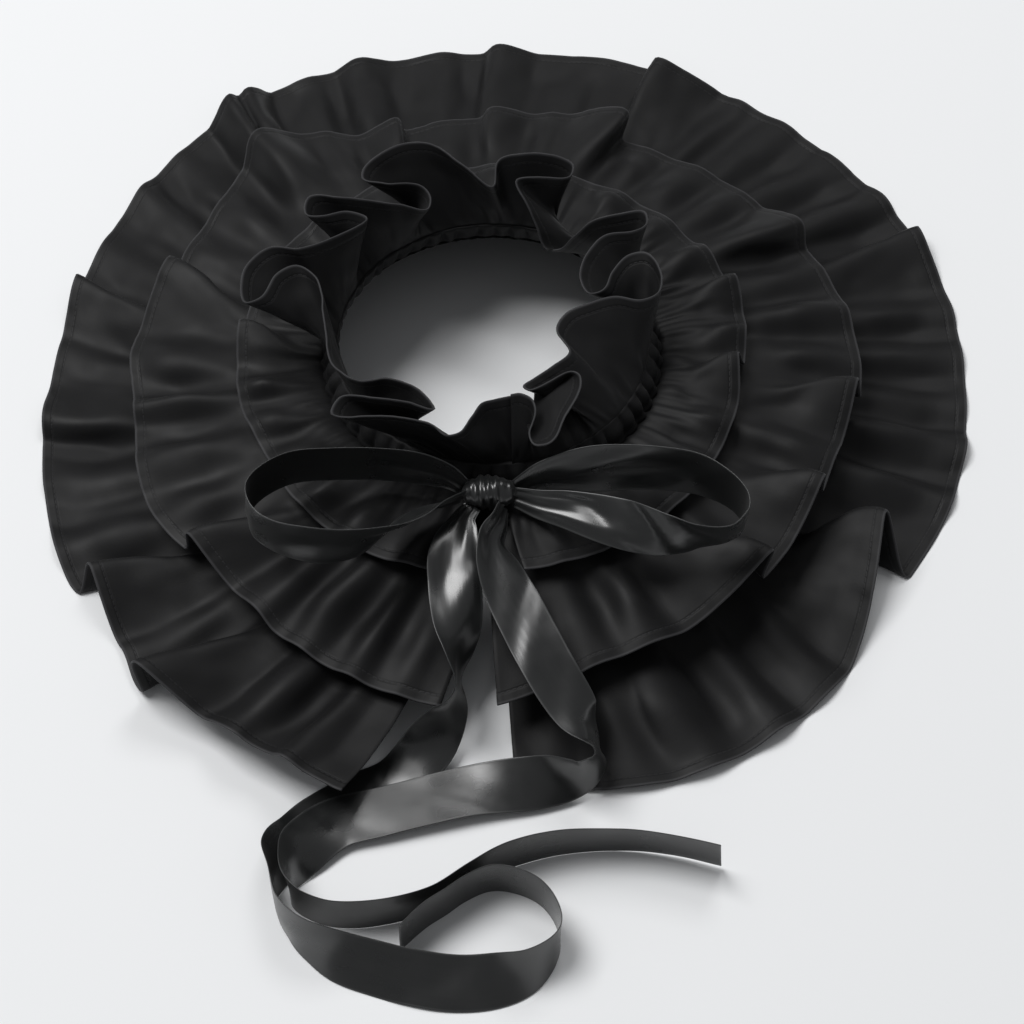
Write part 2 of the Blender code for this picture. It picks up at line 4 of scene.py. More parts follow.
import bpy
import numpy as np
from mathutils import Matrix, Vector


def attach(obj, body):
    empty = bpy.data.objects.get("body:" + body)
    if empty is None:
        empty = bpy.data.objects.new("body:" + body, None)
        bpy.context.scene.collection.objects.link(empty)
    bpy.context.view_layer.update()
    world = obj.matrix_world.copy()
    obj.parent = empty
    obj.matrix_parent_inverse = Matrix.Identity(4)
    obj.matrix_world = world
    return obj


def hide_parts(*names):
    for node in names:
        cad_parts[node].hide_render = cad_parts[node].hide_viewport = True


bl_info = {
    "name": "Flounced neck collar",
    "version": (1, 0, 0),
    "blender": (4, 5, 0),
    "location": "View3D > Sidebar > Collar",
    "description": "Dresses the solids of a black flounced collar in sateen and satin ribbon, "
                   "on a plain stage",
    "category": "Object",
}

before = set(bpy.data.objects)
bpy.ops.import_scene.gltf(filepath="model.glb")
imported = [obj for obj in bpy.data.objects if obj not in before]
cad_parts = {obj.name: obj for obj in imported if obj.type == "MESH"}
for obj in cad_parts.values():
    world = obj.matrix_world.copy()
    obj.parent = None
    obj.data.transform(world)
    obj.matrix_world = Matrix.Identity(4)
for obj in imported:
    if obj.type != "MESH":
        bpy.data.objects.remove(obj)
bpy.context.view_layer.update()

# Turns are degrees round the neck: 0 in front, 90 at the left of the picture, 180 behind.
# Lengths in the tables are millimetres round the middle of the neck.
MM = 0.001
NECK_X = -7.8
NECK_Y = 35.1
NECK = np.array([NECK_X, NECK_Y, 0.0])
CLOTH_WALL = 1.5
RIBBON_WALL = 1.0
RIBBON_WIDTH = 25

# A fold that tips less than HEM_LEAN sinks towards the hem, by up to this share of its height
HEM_SETTLE = 0.62
HEM_SETTLE_FROM = 0.70
HEM_LEAN = 12.0

CASING_LOW_RADIUS = 82.6
CASING_LOW_HEIGHT = 46.8
CASING_TOP_RADIUS = 77.0
CASING_TOP_HEIGHT = 60.3
CASING_GATHERS = 56
CASING_COLUMNS_A_GATHER = 12
CASING_START = -0.3
CASING_END = 360.3
# The casing's section, up its outer face and down its inner one: share of the height, distance out
# and the part that it takes in the gathers' puffs
CASING_SECTION = (
    (0.0, 1.0, 0.3), (0.06, 2.2, 0.6), (0.12, 2.8, 0.8), (0.19, 2.0, 0.7), (0.28, 2.1, 0.9),
    (0.4, 2.6, 1.0), (0.52, 2.7, 1.0), (0.64, 2.5, 1.0), (0.76, 2.0, 0.9), (0.86, 1.4, 0.6),
    (0.94, 1.2, 0.3), (1.0, 0.9, 0.1),
    (1.04, -0.8, -0.1), (0.96, -1.2, -0.3), (0.86, -1.5, -0.6), (0.74, -1.9, -0.9),
    (0.6, -2.1, -1.0), (0.46, -2.1, -1.0), (0.32, -1.9, -0.9), (0.18, -1.5, -0.6),
    (0.08, -1.2, -0.3), (0.0, -0.8, -0.1),
)

SEAM_RADIUS = 83.2
SEAM_STEP = 2.1
TOP_SEAM_HEIGHT = 47.4

RUFFLE_START_RADIUS = 76.3
RUFFLE_END_RADIUS = 77.9
RUFFLE_FOOT_HEIGHT = 59.9
RUFFLE_FOOT_START = -11.0
RUFFLE_FOOT_END = 352.5
RUFFLE_COLUMNS = 760
RUFFLE_GATHERS = 96

KNOT = (-0.8, -94.6, 59.8)
KNOT_HALF = (13.2, 7.4, 8.0)
KNOT_BACK = 12.3
KNOT_BACK_DROP = 5.0
KNOT_AROUND = 96
KNOT_OVER = 56

# Spacing of a tier's rows, and where its last rows lie in from the hem
TIER_ROW_STEP = 4.6
HEM_BAND = 8.0
HEM_ROWS = (6.4, 5.4, 4.8, 4.0, 2.6, 1.2, 0.4, 0.0)
HEM_STEP = 0.35

# Rounding of every sheet's border, as shares of half its thickness, and the sheets' least heights
RIM_REACH = 0.7
RIM_SHARE = 0.3
LEAST_HEIGHT = 0.02
CLOTH_CLEARANCE = 0.03
RIBBON_CLEARANCE = 0.05

# Places across a ribbon, from edge to edge
RIBBON_SPREAD = (-1.0, -0.97, -0.9, -0.72, -0.5, -0.25, 0.0, 0.25, 0.5, 0.72, 0.9, 0.97, 1.0)
RIBBON_COLUMN_STEP = 1.25

Hem = namedtuple("Hem", "turn radius lift", defaults=(0,))
Fold = namedtuple("Fold", "turn half height lean reach start")
Edge = namedtuple("Edge", "turn radius height")
Stop = namedtuple("Stop", "x y z roll width", defaults=(RIBBON_WIDTH,))
Crease = namedtuple("Crease", "turn start stop width height slant", defaults=(0,))
Wrinkle = namedtuple("Wrinkle", "at across length width height angle", defaults=(0,))
Bulge = namedtuple("Bulge", "turn half inward depth")
Tier = namedtuple("Tier", "seam_height hem_height flat_from sag crown seam_start seam_end hem folds")


def rows(kind, values):
    """A table's rows as named tuples."""
    return [kind(*row) for row in values]


OUTER_HEM = rows(Hem, (
    (16, 246, 25), (26, 238, 22), (36, 235, 14), (44.5, 238, 3), (51, 230, 2), (58, 229, 1), (63, 233),
    (78, 231), (97, 231), (115, 239), (131, 250), (150, 264), (176, 263), (200, 266), (222, 262),
    (245, 258), (266, 246), (284, 238), (300, 229), (318, 235, 1), (335, 236, 3), (348, 228, 2),
    (357, 211, 2),
))
MIDDLE_HEM = rows(Hem, (
    (7, 193, -2), (20, 189), (34, 183), (48, 177), (64, 185, -2), (84, 181, -2), (98, 186, -2),
    (112, 182), (130, 190, 2), (144, 204, 3), (160, 183, 2), (182, 186, 2), (195, 192, 2), (204, 182, 1),
    (222, 186), (238, 188), (256, 189), (274, 186), (285, 178, 2), (300, 178, 4), (320, 180, 4),
    (342, 178, 2), (359, 190, -3),
))
TOP_HEM = rows(Hem, (
    (8, 131), (24, 133), (44, 130), (62, 126), (78, 128), (98, 127), (120, 129, 1), (150, 130, 2),
    (180, 129, 2), (212, 129, 1), (236, 130), (256, 131), (274, 126), (297, 126), (322, 129), (344, 130),
    (353, 130),
))

OUTER_FOLDS = rows(Fold, (
    (22.5, 13, 9, 4, 0, 0.5), (31, 18, 13, 0, 2, 0.45), (39.5, 22, 20, 20, 2, 0.45),
    (49, 14, 5, 0, -1, 0.4), (56.5, 20, 17, 19, -6, 0.4), (68, 20, 7, 3, 0, 0.3), (79, 19, 6, -2, 0, 0.3),
    (90, 22, 11, -8, 0, 0.25), (100, 16, 4.5, 0, 0, 0.4), (107, 18, 13, 15, 2, 0.3),
    (118, 21, 6, 2, 0, 0.35), (128, 19, 8, 4, 1, 0.3), (136, 16, 4.5, 0, 0, 0.3),
    (144.6, 15, 26, 5, 0, 0.5), (148.4, 15, 23, -3, 0, 0.5), (156.5, 15, 6, 0, 0, 0.4),
    (163.5, 20, 11, -4, 2, 0.3), (173, 20, 7, 2, 0, 0.3), (182, 19, 9, -8, 1, 0.3),
    (194, 22, 5, 0, 0, 0.35), (204.6, 24, 13, -17, -1, 0.45), (212.5, 16, 5, 0, 0, 0.35),
    (218.5, 18, 7, 0, 1, 0.3), (227, 17, 5, -2, 0, 0.3), (235, 18, 9, 3, 1, 0.3),
    (245.8, 21, 11, -14, 1, 0.45), (254, 16, 6, 0, 1, 0.3), (261.5, 18, 8, 0, 0, 0.3),
    (269, 16, 5, 0, 0, 0.35), (276.5, 18, 10, -4, 2, 0.25), (284.5, 16, 7, -3, 1, 0.3),
    (304.5, 34, 29, -40, -20, 0.5), (316.5, 20, 8, 0, 0, 0.4), (325, 20, 9, -3, 0, 0.35),
    (334, 20, 8, 0, 1, 0.3), (342.5, 17, 5, 0, 0, 0.4), (351, 13, 3, 0, 0, 0.5),
))
MIDDLE_FOLDS = rows(Fold, (
    (13, 10, 3, 0, 0, 0.4), (20.5, 11, 6, 0, 0, 0.3), (29, 14, 7, 2, 0, 0.25), (39, 17, 10, -4, 0, 0.3),
    (50, 18, 13, 14, 1, 0.4), (62, 17, 5, 0, 0, 0.35), (72.5, 17, 7, 4, 0, 0.3), (84, 11, 10, 3, 0, 0.25),
    (95, 20, 7, 0, 1, 0.3), (107.5, 20, 15, 18, 1, 0.35), (119, 17, 5, 0, 0, 0.35),
    (130, 16, 6, 0, 0, 0.35), (143, 22, 19, -6, 3, 0.4), (152.5, 12, 6, 0, 0, 0.45),
    (160.5, 14, 12, 9, 0, 0.45), (171, 17, 5, 0, 0, 0.4), (182, 16, 9, -8, 0, 0.4),
    (190, 12, 4, 0, 0, 0.45), (197.5, 18, 15, 16, 1, 0.45), (208, 13, 5, 0, 0, 0.45),
    (217, 16, 6, 0, 0, 0.4), (226, 15, 5, 0, 0, 0.4), (236, 20, 16, 10, 2, 0.4), (247, 14, 5, 0, 0, 0.4),
    (256.5, 16, 9, -2, 1, 0.35), (267, 15, 5, 0, 0, 0.4), (278, 18, 14, -15, 0, 0.4),
    (288, 18, 9, 0, 0, 0.35), (300, 22, 18, -14, 0, 0.45), (321, 26, 20, -26, 0, 0.45),
    (334, 16, 5, 0, 0, 0.4), (343.5, 14, 4, 0, 0, 0.45), (352, 11, 2, 0, 0, 0.45),
))
TOP_FOLDS = rows(Fold, (
    (18, 11, 5, 0, 0, 0.2), (31, 13, 6, 3, 0, 0.2), (44, 12, 5, 0, 0, 0.2), (57, 12, 5, 0, 0, 0.2),
    (69, 11, 6, 0, 0, 0.2), (80, 10, 8, 0, 0, 0.15), (93, 14, 11, 10, 1, 0.25), (107, 13, 6, 0, 0, 0.2),
    (121, 14, 7, 0, 0, 0.2), (136, 14, 5, 0, 0, 0.2), (151, 13, 7, 0, 0, 0.2), (166, 14, 6, 0, 0, 0.2),
    (181, 14, 7, 0, 0, 0.2), (196, 13, 5, 0, 0, 0.2), (211, 14, 7, 0, 0, 0.2), (225, 13, 6, 0, 0, 0.2),
    (239, 14, 9, -4, 1, 0.2), (252, 13, 11, -8, 2, 0.25), (264, 11, 7, -3, 0, 0.25),
    (277.5, 14, 11, -11, -3, 0.25), (291, 13, 6, 0, 0, 0.2), (304, 12, 6, 0, 0, 0.2),
    (317, 12, 5, 0, 0, 0.2), (331, 12, 5, 0, 0, 0.2), (344, 10, 4, 0, 0, 0.2),
))

OUTER = Tier(TOP_SEAM_HEIGHT - 2 * SEAM_STEP, 0.5 * CLOTH_WALL, 0.90, 1.3, 0.0, 2, 358,
             OUTER_HEM, OUTER_FOLDS)
MIDDLE = Tier(TOP_SEAM_HEIGHT - SEAM_STEP, 27.0, 1.00, 1.0, 1.5, -3, 361.5, MIDDLE_HEM, MIDDLE_FOLDS)
TOP = Tier(TOP_SEAM_HEIGHT, 46.5, 1.00, 1.0, 3.0, 2, 358, TOP_HEM, TOP_FOLDS)

# Creases in the tiers, beside their folds: a ridge where height is above 0, a trough below.
# Start and stop are shares of the depth, slant the turn it drifts on the way to the hem.
OUTER_CREASES = rows(Crease, (
    (27, 0.55, 1.05, 9, -3, 2), (35, 0.5, 0.95, 7, 2.2, -2), (45, 0.55, 0.95, 8, -2.5, 2),
    (63, 0.45, 0.98, 9, -2.5, 1), (73, 0.4, 0.95, 7, 2, -1), (84, 0.45, 1, 8, -2.2, 1),
    (95, 0.5, 0.98, 8, 2), (103, 0.45, 0.9, 6, -2, -2), (113, 0.45, 1, 8, -2.2, 1),
    (123, 0.5, 0.95, 7, 2, 1), (133, 0.4, 0.98, 8, -2.4), (141, 0.5, 0.95, 6, -2.4),
    (151, 0.5, 0.98, 6, -2.6), (159, 0.5, 1, 7, -2.2), (168, 0.45, 0.95, 7, -2.4), (178, 0.5, 1, 7, -2),
    (187, 0.5, 0.95, 7, -2.4), (195, 0.55, 1, 7, -2.2, -1), (206, 0.45, 0.95, 8, -2.4, -2),
    (214, 0.5, 1, 6, -1.8, -1), (223, 0.5, 0.95, 7, -2, -1), (231, 0.5, 1, 7, -2.2),
    (239, 0.5, 0.95, 7, -2), (249, 0.5, 0.95, 7, -2.2, -1), (257, 0.5, 1, 7, -2), (265, 0.5, 0.98, 7, -2),
    (281, 0.5, 0.98, 7, -2), (291, 0.5, 0.95, 8, -2.4, -2), (308, 0.5, 0.95, 8, -2.4, -3),
    (318, 0.5, 0.96, 9, -3.2, 2), (328, 0.55, 1, 8, -2.8, 3), (337, 0.55, 0.95, 8, 2.4, 3),
    (347, 0.6, 1, 8, -2, 2), (30, 0.55, 0.95, 11, 2.6, -6), (66, 0.35, 0.95, 12, 3.2, 9),
    (88, 0.3, 0.9, 11, -3, -10), (110, 0.35, 0.95, 12, 3, 11), (126, 0.3, 0.85, 10, -3.2, 13),
    (150, 0.4, 0.95, 12, 3, -10), (170, 0.35, 0.9, 13, -3, 12), (190, 0.35, 0.95, 12, 2.8, -12),
    (216, 0.3, 0.9, 12, -3, 10), (238, 0.35, 0.95, 12, 3, -11), (262, 0.3, 0.9, 11, -2.8, 12),
    (288, 0.35, 0.9, 12, 3, -9), (322, 0.4, 0.95, 14, -3.4, 10), (338, 0.45, 0.95, 13, 3, -9),
))
MIDDLE_CREASES = rows(Crease, (
    (17, 0.4, 1, 6, -2.2, 1), (25, 0.35, 0.95, 6, -2.6, 1), (34, 0.3, 0.95, 7, -2.6, 2),
    (44, 0.4, 0.95, 7, -2.4, 2), (56, 0.4, 0.9, 8, -2.4, 1), (67, 0.4, 0.95, 7, -2),
    (78, 0.35, 0.95, 7, -2.6), (89, 0.35, 0.95, 7, -2.8), (101, 0.4, 0.95, 7, -2),
    (114, 0.4, 0.95, 7, -2), (125, 0.4, 0.95, 7, -2), (136, 0.4, 0.95, 7, -2.4), (149, 0.4, 0.9, 6, -2.4),
    (156, 0.4, 0.9, 5, -2), (166, 0.4, 0.95, 6, -2.2), (177, 0.4, 0.95, 6, -2.2),
    (187, 0.45, 0.95, 6, -2), (203, 0.4, 0.95, 6, -2.4), (212, 0.4, 0.95, 6, -2), (222, 0.4, 0.95, 6, -2),
    (231, 0.4, 0.9, 6, -2), (242, 0.4, 0.95, 6, -2.2), (252, 0.4, 0.95, 6, -2), (261, 0.4, 0.95, 6, -2),
    (269, 0.4, 0.9, 6, -2.2), (280, 0.4, 0.9, 6, -2.2), (292, 0.35, 0.9, 8, -3, -2),
    (308, 0.35, 0.9, 8, -3, -2), (314, 0.4, 0.85, 5, 2.2, -3), (330, 0.45, 0.95, 7, -2.4, 2),
    (339, 0.5, 1, 6, -2, 2), (348, 0.5, 1, 6, -1.6, 1), (30, 0.35, 0.9, 9, 2.6, 10),
    (60, 0.3, 0.9, 10, -2.8, -11), (90, 0.3, 0.9, 9, 2.6, 10), (116, 0.35, 0.9, 10, -2.6, 12),
    (150, 0.3, 0.9, 9, 2.4, -12), (180, 0.3, 0.9, 10, -2.4, 12), (212, 0.3, 0.9, 9, 2.4, -10),
    (240, 0.3, 0.9, 9, -2.6, 11), (268, 0.3, 0.9, 9, 2.4, -12), (296, 0.3, 0.9, 10, -2.8, 11),
    (324, 0.35, 0.9, 11, 2.8, -9), (340, 0.4, 0.95, 10, -2.6, 9),
))
TOP_CREASES = rows(Crease, (
    (24, 0.2, 1, 5, -1.8), (38, 0.2, 1, 5, -1.8), (50, 0.2, 1, 5, -1.8), (63, 0.2, 1, 5, -1.6),
    (86, 0.2, 0.9, 5, -2), (100, 0.2, 1, 5, -2), (114, 0.2, 1, 5, -1.8), (129, 0.2, 1, 5, -1.8),
    (144, 0.2, 1, 5, -1.8), (159, 0.2, 1, 5, -1.8), (174, 0.2, 1, 5, -1.8), (204, 0.2, 1, 5, -1.8),
    (218, 0.2, 1, 5, -1.8), (245, 0.2, 0.9, 5, -2), (270, 0.2, 0.9, 5, -2), (298, 0.2, 1, 5, -1.8),
    (324, 0.2, 1, 5, -1.8),
))

RUFFLE_EDGE = rows(Edge, (
    (-9, 58, 87), (-2, 60, 88), (4, 65, 91), (7, 74, 92), (10, 83, 91), (14, 86, 91), (19, 83, 92),
    (25, 84, 93), (35, 90, 93), (46, 104, 92), (48, 95, 95), (40, 87, 98), (30, 80, 98), (20, 77, 96),
    (29, 70, 97), (42, 73, 97), (50, 82, 93), (63, 86, 90), (80, 82, 92), (97, 86, 94), (101, 97, 95),
    (97, 106, 95), (90, 112, 93), (89, 121, 92), (97, 122, 96), (104, 113, 98), (106, 98, 98),
    (117, 84, 96), (129, 80, 94), (127, 90, 95), (121, 98, 96), (119, 106, 96), (124, 110, 98),
    (128, 98, 99), (133, 87, 98), (141, 73, 97), (150, 65, 94), (154, 71, 96), (152, 79, 98),
    (142, 87, 100), (138, 96, 100), (141, 102, 100), (148, 104, 102), (155, 104, 102), (162, 98, 102),
    (171, 82, 98), (180, 74, 92), (182, 86, 98), (189, 90, 100), (198, 93, 100), (206, 93, 98),
    (207, 85, 97), (196, 79, 97), (189, 76, 95), (194, 68, 90), (201, 62, 80), (208, 58, 70),
    (214, 62, 70), (218, 66, 78), (223, 74, 88), (229, 86, 91), (233, 95, 92), (238, 91, 92),
    (238, 82, 92), (234, 70, 92), (236, 58, 90), (245, 48, 87), (259, 48, 85), (259, 56, 86),
    (251, 63, 88), (247, 73, 91), (249, 82, 92), (258, 85, 92), (267, 82, 92), (271, 73, 92),
    (269, 60, 92), (274, 46, 91), (283, 37, 90), (299, 36, 88), (308, 48, 87), (322, 48, 86),
    (336, 50, 86), (343, 53, 87), (341, 58, 89), (331, 58, 90), (320, 60, 91), (319, 66, 92),
    (325, 74, 92), (335, 84, 92), (342, 94, 92), (347, 94, 92), (348, 86, 92), (344, 76, 92),
    (343, 67, 93), (347, 62, 93), (351, 61, 92),
))

# Where the ruffle sags inwards below its edge: foot turn, half width, distance and depth
RUFFLE_BULGES = [Bulge(332, 18, 33, 0.54)]

# Ribbon routes. Roll 0 lies flat and 90 stands on edge.
LEFT_LOOP = rows(Stop, (
    (-13.6, -91.8, 61.8, 78, 11), (-22, -89.2, 66.5, 84, 18), (-36, -87, 70, 88, 24),
    (-54.9, -86.2, 72, 90), (-74.8, -86.2, 72, 90), (-95, -88.6, 72, 90), (-108, -96.8, 72, 90),
    (-114, -107.4, 72, 90), (-111, -119.5, 72, 92), (-100, -128.5, 72, 92), (-84, -133, 72, 95),
    (-69.7, -132.8, 71, 90), (-56, -129, 71, 76), (-45, -121.5, 70.5, 54, 24),
    (-34.5, -113.5, 69.5, 44, 21), (-25, -106, 66, 60, 16), (-13.4, -97.6, 61.3, 78, 11),
))
RIGHT_LOOP = rows(Stop, (
    (12, -92.8, 61.6, 105, 10), (26, -90.6, 67.5, 108, 19), (46.9, -89.7, 72.5, 112),
    (70.4, -90.8, 75.5, 110), (94, -94.5, 76.5, 104), (110, -102.5, 76, 96), (118.2, -112, 74.5, 92),
    (118.6, -120.1, 73, 96), (111, -126, 71, 106), (96, -127, 70, 100), (82, -125.8, 69.5, 78),
    (67, -121, 69, 52, 24), (51.3, -115, 68, 38, 22), (36, -109, 66.5, 40, 18),
    (23, -104.5, 64.5, 48, 14), (11.4, -97.9, 61.2, 60, 10),
))
LEFT_TAIL = rows(Stop, (
    (-8.6, -100.1, 57, -5, 9), (-13, -106, 55.6, -12, 13), (-15, -112.5, 55.2, -6, 18),
    (-16.5, -120, 54.6, 4, 22), (-17.3, -128, 53.3, 8), (-16.8, -140, 50.5, 0), (-15.4, -157, 45, 22),
    (-14.7, -171.8, 38, 62), (-15.1, -183.2, 30, 90), (-18, -192, 22, 70), (-26, -202.5, 14, 40),
    (-36, -211.5, 6, 10), (-46, -218.5, 1, 0), (-62, -226.5, 1, 0), (-79, -237.5, 1, 0),
    (-87.5, -247.5, 2.5, 10), (-96, -262.5, 8, 48), (-97.5, -277, 12, 85), (-94.5, -289.5, 12, 90),
    (-87.5, -299, 12, 97), (-77.5, -306.5, 10, 112), (-65.6, -312.5, 8.5, 130), (-49, -317.5, 8, 140),
    (-35, -321, 8, 146), (-17.3, -323.5, 7, 150), (0.3, -323.5, 8, 140), (16, -320.5, 10, 118),
    (27.6, -311.5, 12, 97), (31.7, -303, 12, 90), (29.6, -291.7, 12, 90), (22.5, -281.7, 12, 90),
    (11.3, -276, 12, 90), (0.1, -275, 12, 90), (-11, -280, 12, 90), (-19.5, -286.5, 12, 90),
    (-29, -293.5, 12, 90), (-39.6, -304.5, 12, 90),
))
RIGHT_TAIL = rows(Stop, (
    (6, -101.6, 58.6, 65, 10), (4, -110.5, 58.5, 60, 14), (0.5, -119, 57, 50, 18),
    (2.5, -129, 55, 30, 23), (8.5, -144, 51.5, 10), (17.8, -163.8, 47.5, 2), (29, -185, 42, 0),
    (40, -201, 34.5, 15), (47, -209.5, 27, 58), (49.5, -217.5, 22, 82), (43, -223.5, 17, 80),
    (25, -224.5, 12, 45), (-4.8, -226, 8, 10), (-27.9, -231, 7, 3), (-50.9, -237, 6, 2),
    (-71, -243, 6, 8), (-84.5, -256.5, 9, 30), (-90.5, -270, 12, 68), (-90, -281, 12, 88),
    (-83, -288, 12, 90), (-69, -292.8, 12, 90), (-48.8, -292, 12, 90), (-26.7, -285.5, 12, 90),
    (-8.9, -273.5, 12, 90), (9.1, -263, 12, 90), (31.8, -256.8, 12, 88), (59, -255.3, 13, 84),
    (81.6, -258.3, 14, 82), (104.3, -264.5, 15, 82),
))

# Wrinkles in the ribbons: distance along, place across (-1 to 1), length, width, height, angle
LEFT_LOOP_WRINKLES = rows(Wrinkle, (
    (12, 0.3, 26, 2, 0.8, 8), (14, -0.4, 24, 1.8, -0.7, -6), (32, 0, 36, 4, 1.2, 8),
    (120, 0.1, 30, 5, 1, 40), (150, -0.2, 40, 5, -1, 12), (186, -0.4, 40, 3.8, 1.6, 14),
    (200, 0.3, 36, 3, 2, -10), (214, -0.3, 30, 2.4, -1.8, 6), (226, 0.2, 26, 2, 1.2),
))
RIGHT_LOOP_WRINKLES = rows(Wrinkle, (
    (12, 0.3, 26, 2, 0.8, 8), (18, -0.4, 28, 1.8, -0.8, -8), (42, 0.2, 44, 4, 1.4, 14),
    (66, -0.3, 40, 4.5, -1.2, 10), (92, 0.2, 34, 5, 1, 30), (150, 0.2, 26, 4, 1.8, 38),
    (162, -0.2, 28, 3.4, -2.2, 46), (173, 0.3, 28, 3.2, 2.4, 34), (183, -0.3, 28, 3, -2.2, 28),
    (194, 0.1, 30, 3, 2.2, 20), (206, 0.5, 30, 2.4, 1.6, 8), (208, -0.4, 34, 2.6, -1.8, 4),
    (222, 0, 30, 2, 1.2),
))
LEFT_TAIL_WRINKLES = rows(Wrinkle, (
    (10, 0.2, 30, 2.2, 1, 5), (18, -0.4, 34, 2.4, -1.2, -5), (34, 0.3, 44, 3.4, 1.6, 12),
    (52, -0.3, 46, 4.5, -1.4, 18), (84, 0.1, 50, 5, 1.2, 20), (124, 0, 40, 6, 0.9, 40),
    (176, -0.1, 50, 6, 0.7, 24), (262, 0, 60, 6, 0.6, 30), (330, 0.1, 50, 6, -0.6, 30),
))
RIGHT_TAIL_WRINKLES = rows(Wrinkle, (
    (10, 0.2, 30, 2.2, 1, 5), (18, -0.4, 34, 2.4, -1.2, -5), (32, 0.3, 36, 3, 1.4, 12),
    (56, -0.2, 40, 4.5, 1.3, 35), (74, 0.2, 40, 5, -1.2, 30), (98, 0, 44, 6, 1, 34),
    (128, 0, 34, 5, -1, -30), (160, 0.1, 50, 6, 0.8, 50), (205, -0.1, 56, 6, 0.8, 25),
    (262, 0, 50, 6, 0.6, 30), (360, 0, 60, 6, 0.5, 20),
))

# Fine gathers drawn into the seam of every tier, and waves that make up a soft buckling
GATHERS = 118
BUCKLE_WAVES = 26

# The camera: lens and sensor in mm, degrees above the floor, metres to its aim, and the aim from the neck
CAMERA_LENS = 91.06
CAMERA_SENSOR = 36.0
CAMERA_ELEVATION = 54.0
CAMERA_DISTANCE = 1.30
CAMERA_AIM = (10.0, -62.0)

# Seeds of what is strewn; the tiers' and ribbons' own are in their operators
GATHER_SEED = 7
CASING_SEED = 11
RUFFLE_SEED = 31


def ease(share):
    """Smooth rise from 0 to 1."""
    share = np.clip(share, 0.0, 1.0)
    return share * share * (3.0 - 2.0 * share)


def smooth_read(keys, values, at):
    """Smooth curve through a table's rows, read at many keys at once."""
    keys = np.asarray(keys, float)
    values = np.asarray(values, float)
    last = len(keys) - 1
    order = np.arange(last + 1)
    before, after = np.maximum(order - 1, 0), np.minimum(order + 1, last)
    i = np.clip(np.searchsorted(keys, at, side="right") - 1, 0, last - 1)
    span = keys[i + 1] - keys[i]
    t = (at - keys[i]) / span
    step = keys[after] - keys[before]
    if values.ndim > 1:
        step, span, t = step[:, None], span[..., None], t[..., None]
    slope = (values[after] - values[before]) / step
    return (values[i] * (2 * t**3 - 3 * t**2 + 1) + slope[i] * span * (t**3 - 2 * t**2 + t)
            + values[i + 1] * (3 * t**2 - 2 * t**3) + slope[i + 1] * span * (t**3 - t**2))


def path_lengths(points):
    """Distance along a chain of points, at each of them."""
    steps = np.linalg.norm(np.diff(points, axis=0), axis=1)
    return np.concatenate([[0.0], np.cumsum(steps)])


def ring_points(turn, radius, height):
    """Points at a turn, radius and height round the neck, in mm."""
    angle = np.radians(turn)
    shape = np.broadcast(angle, radius, height).shape
    return np.stack([np.broadcast_to(-radius * np.sin(angle), shape),
                     np.broadcast_to(-radius * np.cos(angle), shape),
                     np.broadcast_to(height, shape)], axis=-1)


def grid_directions(points):
    """Unit directions from column to column of a grid, and from row to row."""
    along = np.gradient(points, axis=0)
    down = np.gradient(points, axis=1)
    along /= np.linalg.norm(along, axis=2, keepdims=True) + 1e-9
    down /= np.linalg.norm(down, axis=2, keepdims=True) + 1e-9
    return along, down


def grid_normals(points):
    """Unit directions out of a grid's upper face."""
    along, down = grid_directions(points)
    normal = np.cross(along, down)
    return normal / (np.linalg.norm(normal, axis=2, keepdims=True) + 1e-9)


def cloth_waves(u, v, seed, shortest, longest, count=BUCKLE_WAVES):
    """Soft uneven buckling of cloth: many faint waves of different lengths and directions."""
    dice = np.random.default_rng(seed)
    total = np.zeros(np.broadcast(u, v).shape)
    for _ in range(count):
        length = dice.uniform(shortest, longest)
        angle = dice.uniform(0.0, math.pi)
        phase = dice.uniform(0.0, 2.0 * math.pi)
        total += np.sin(2.0 * math.pi * (u * math.cos(angle) + v * math.sin(angle)) / length + phase)
    return total / math.sqrt(count)


def tier_surface(tier, turns, depths):
    """Points of a tier's cloth: a column for each turn, and rows at the depths (columns by rows)."""
    keys = [row.turn for row in tier.hem]
    hem_radius = smooth_read(keys, [row.radius for row in tier.hem], turns)[:, None]
    lift = smooth_read(keys, [row.lift for row in tier.hem], turns)[:, None]
    share = (turns - keys[0]) / (keys[-1] - keys[0])
    seam_turn = (tier.seam_start + share * (tier.seam_end - tier.seam_start))[:, None]
    turn = turns[:, None]
    radius = SEAM_RADIUS + (hem_radius - SEAM_RADIUS) * depths
    now = seam_turn + (turn - seam_turn) * depths**0.8
    fall = np.maximum(0.0, 1.0 - depths / tier.flat_from) ** tier.sag
    height = tier.hem_height + (tier.seam_height - tier.hem_height) * fall
    height = height + lift * depths**2 + 4.0 * tier.crown * depths * (1.0 - depths)
    for fold in tier.folds:
        across = np.radians(turn - fold.turn) * hem_radius / fold.half
        bump = np.where(np.abs(across) < 1.0, 0.5 + 0.5 * np.cos(math.pi * across), 0.0)
        bump = bump * ease((depths - fold.start) / (1.0 - fold.start))
        settle = HEM_SETTLE * max(0.0, 1.0 - abs(fold.lean) / HEM_LEAN)
        bump = bump * (1.0 - settle * ease((depths - HEM_SETTLE_FROM) / (1.0 - HEM_SETTLE_FROM)))
        height = height + fold.height * bump
        radius = radius + fold.reach * bump
        now = now + np.degrees(fold.lean * bump / radius)
    return ring_points(now, radius, np.maximum(height, 0.5 * CLOTH_WALL))


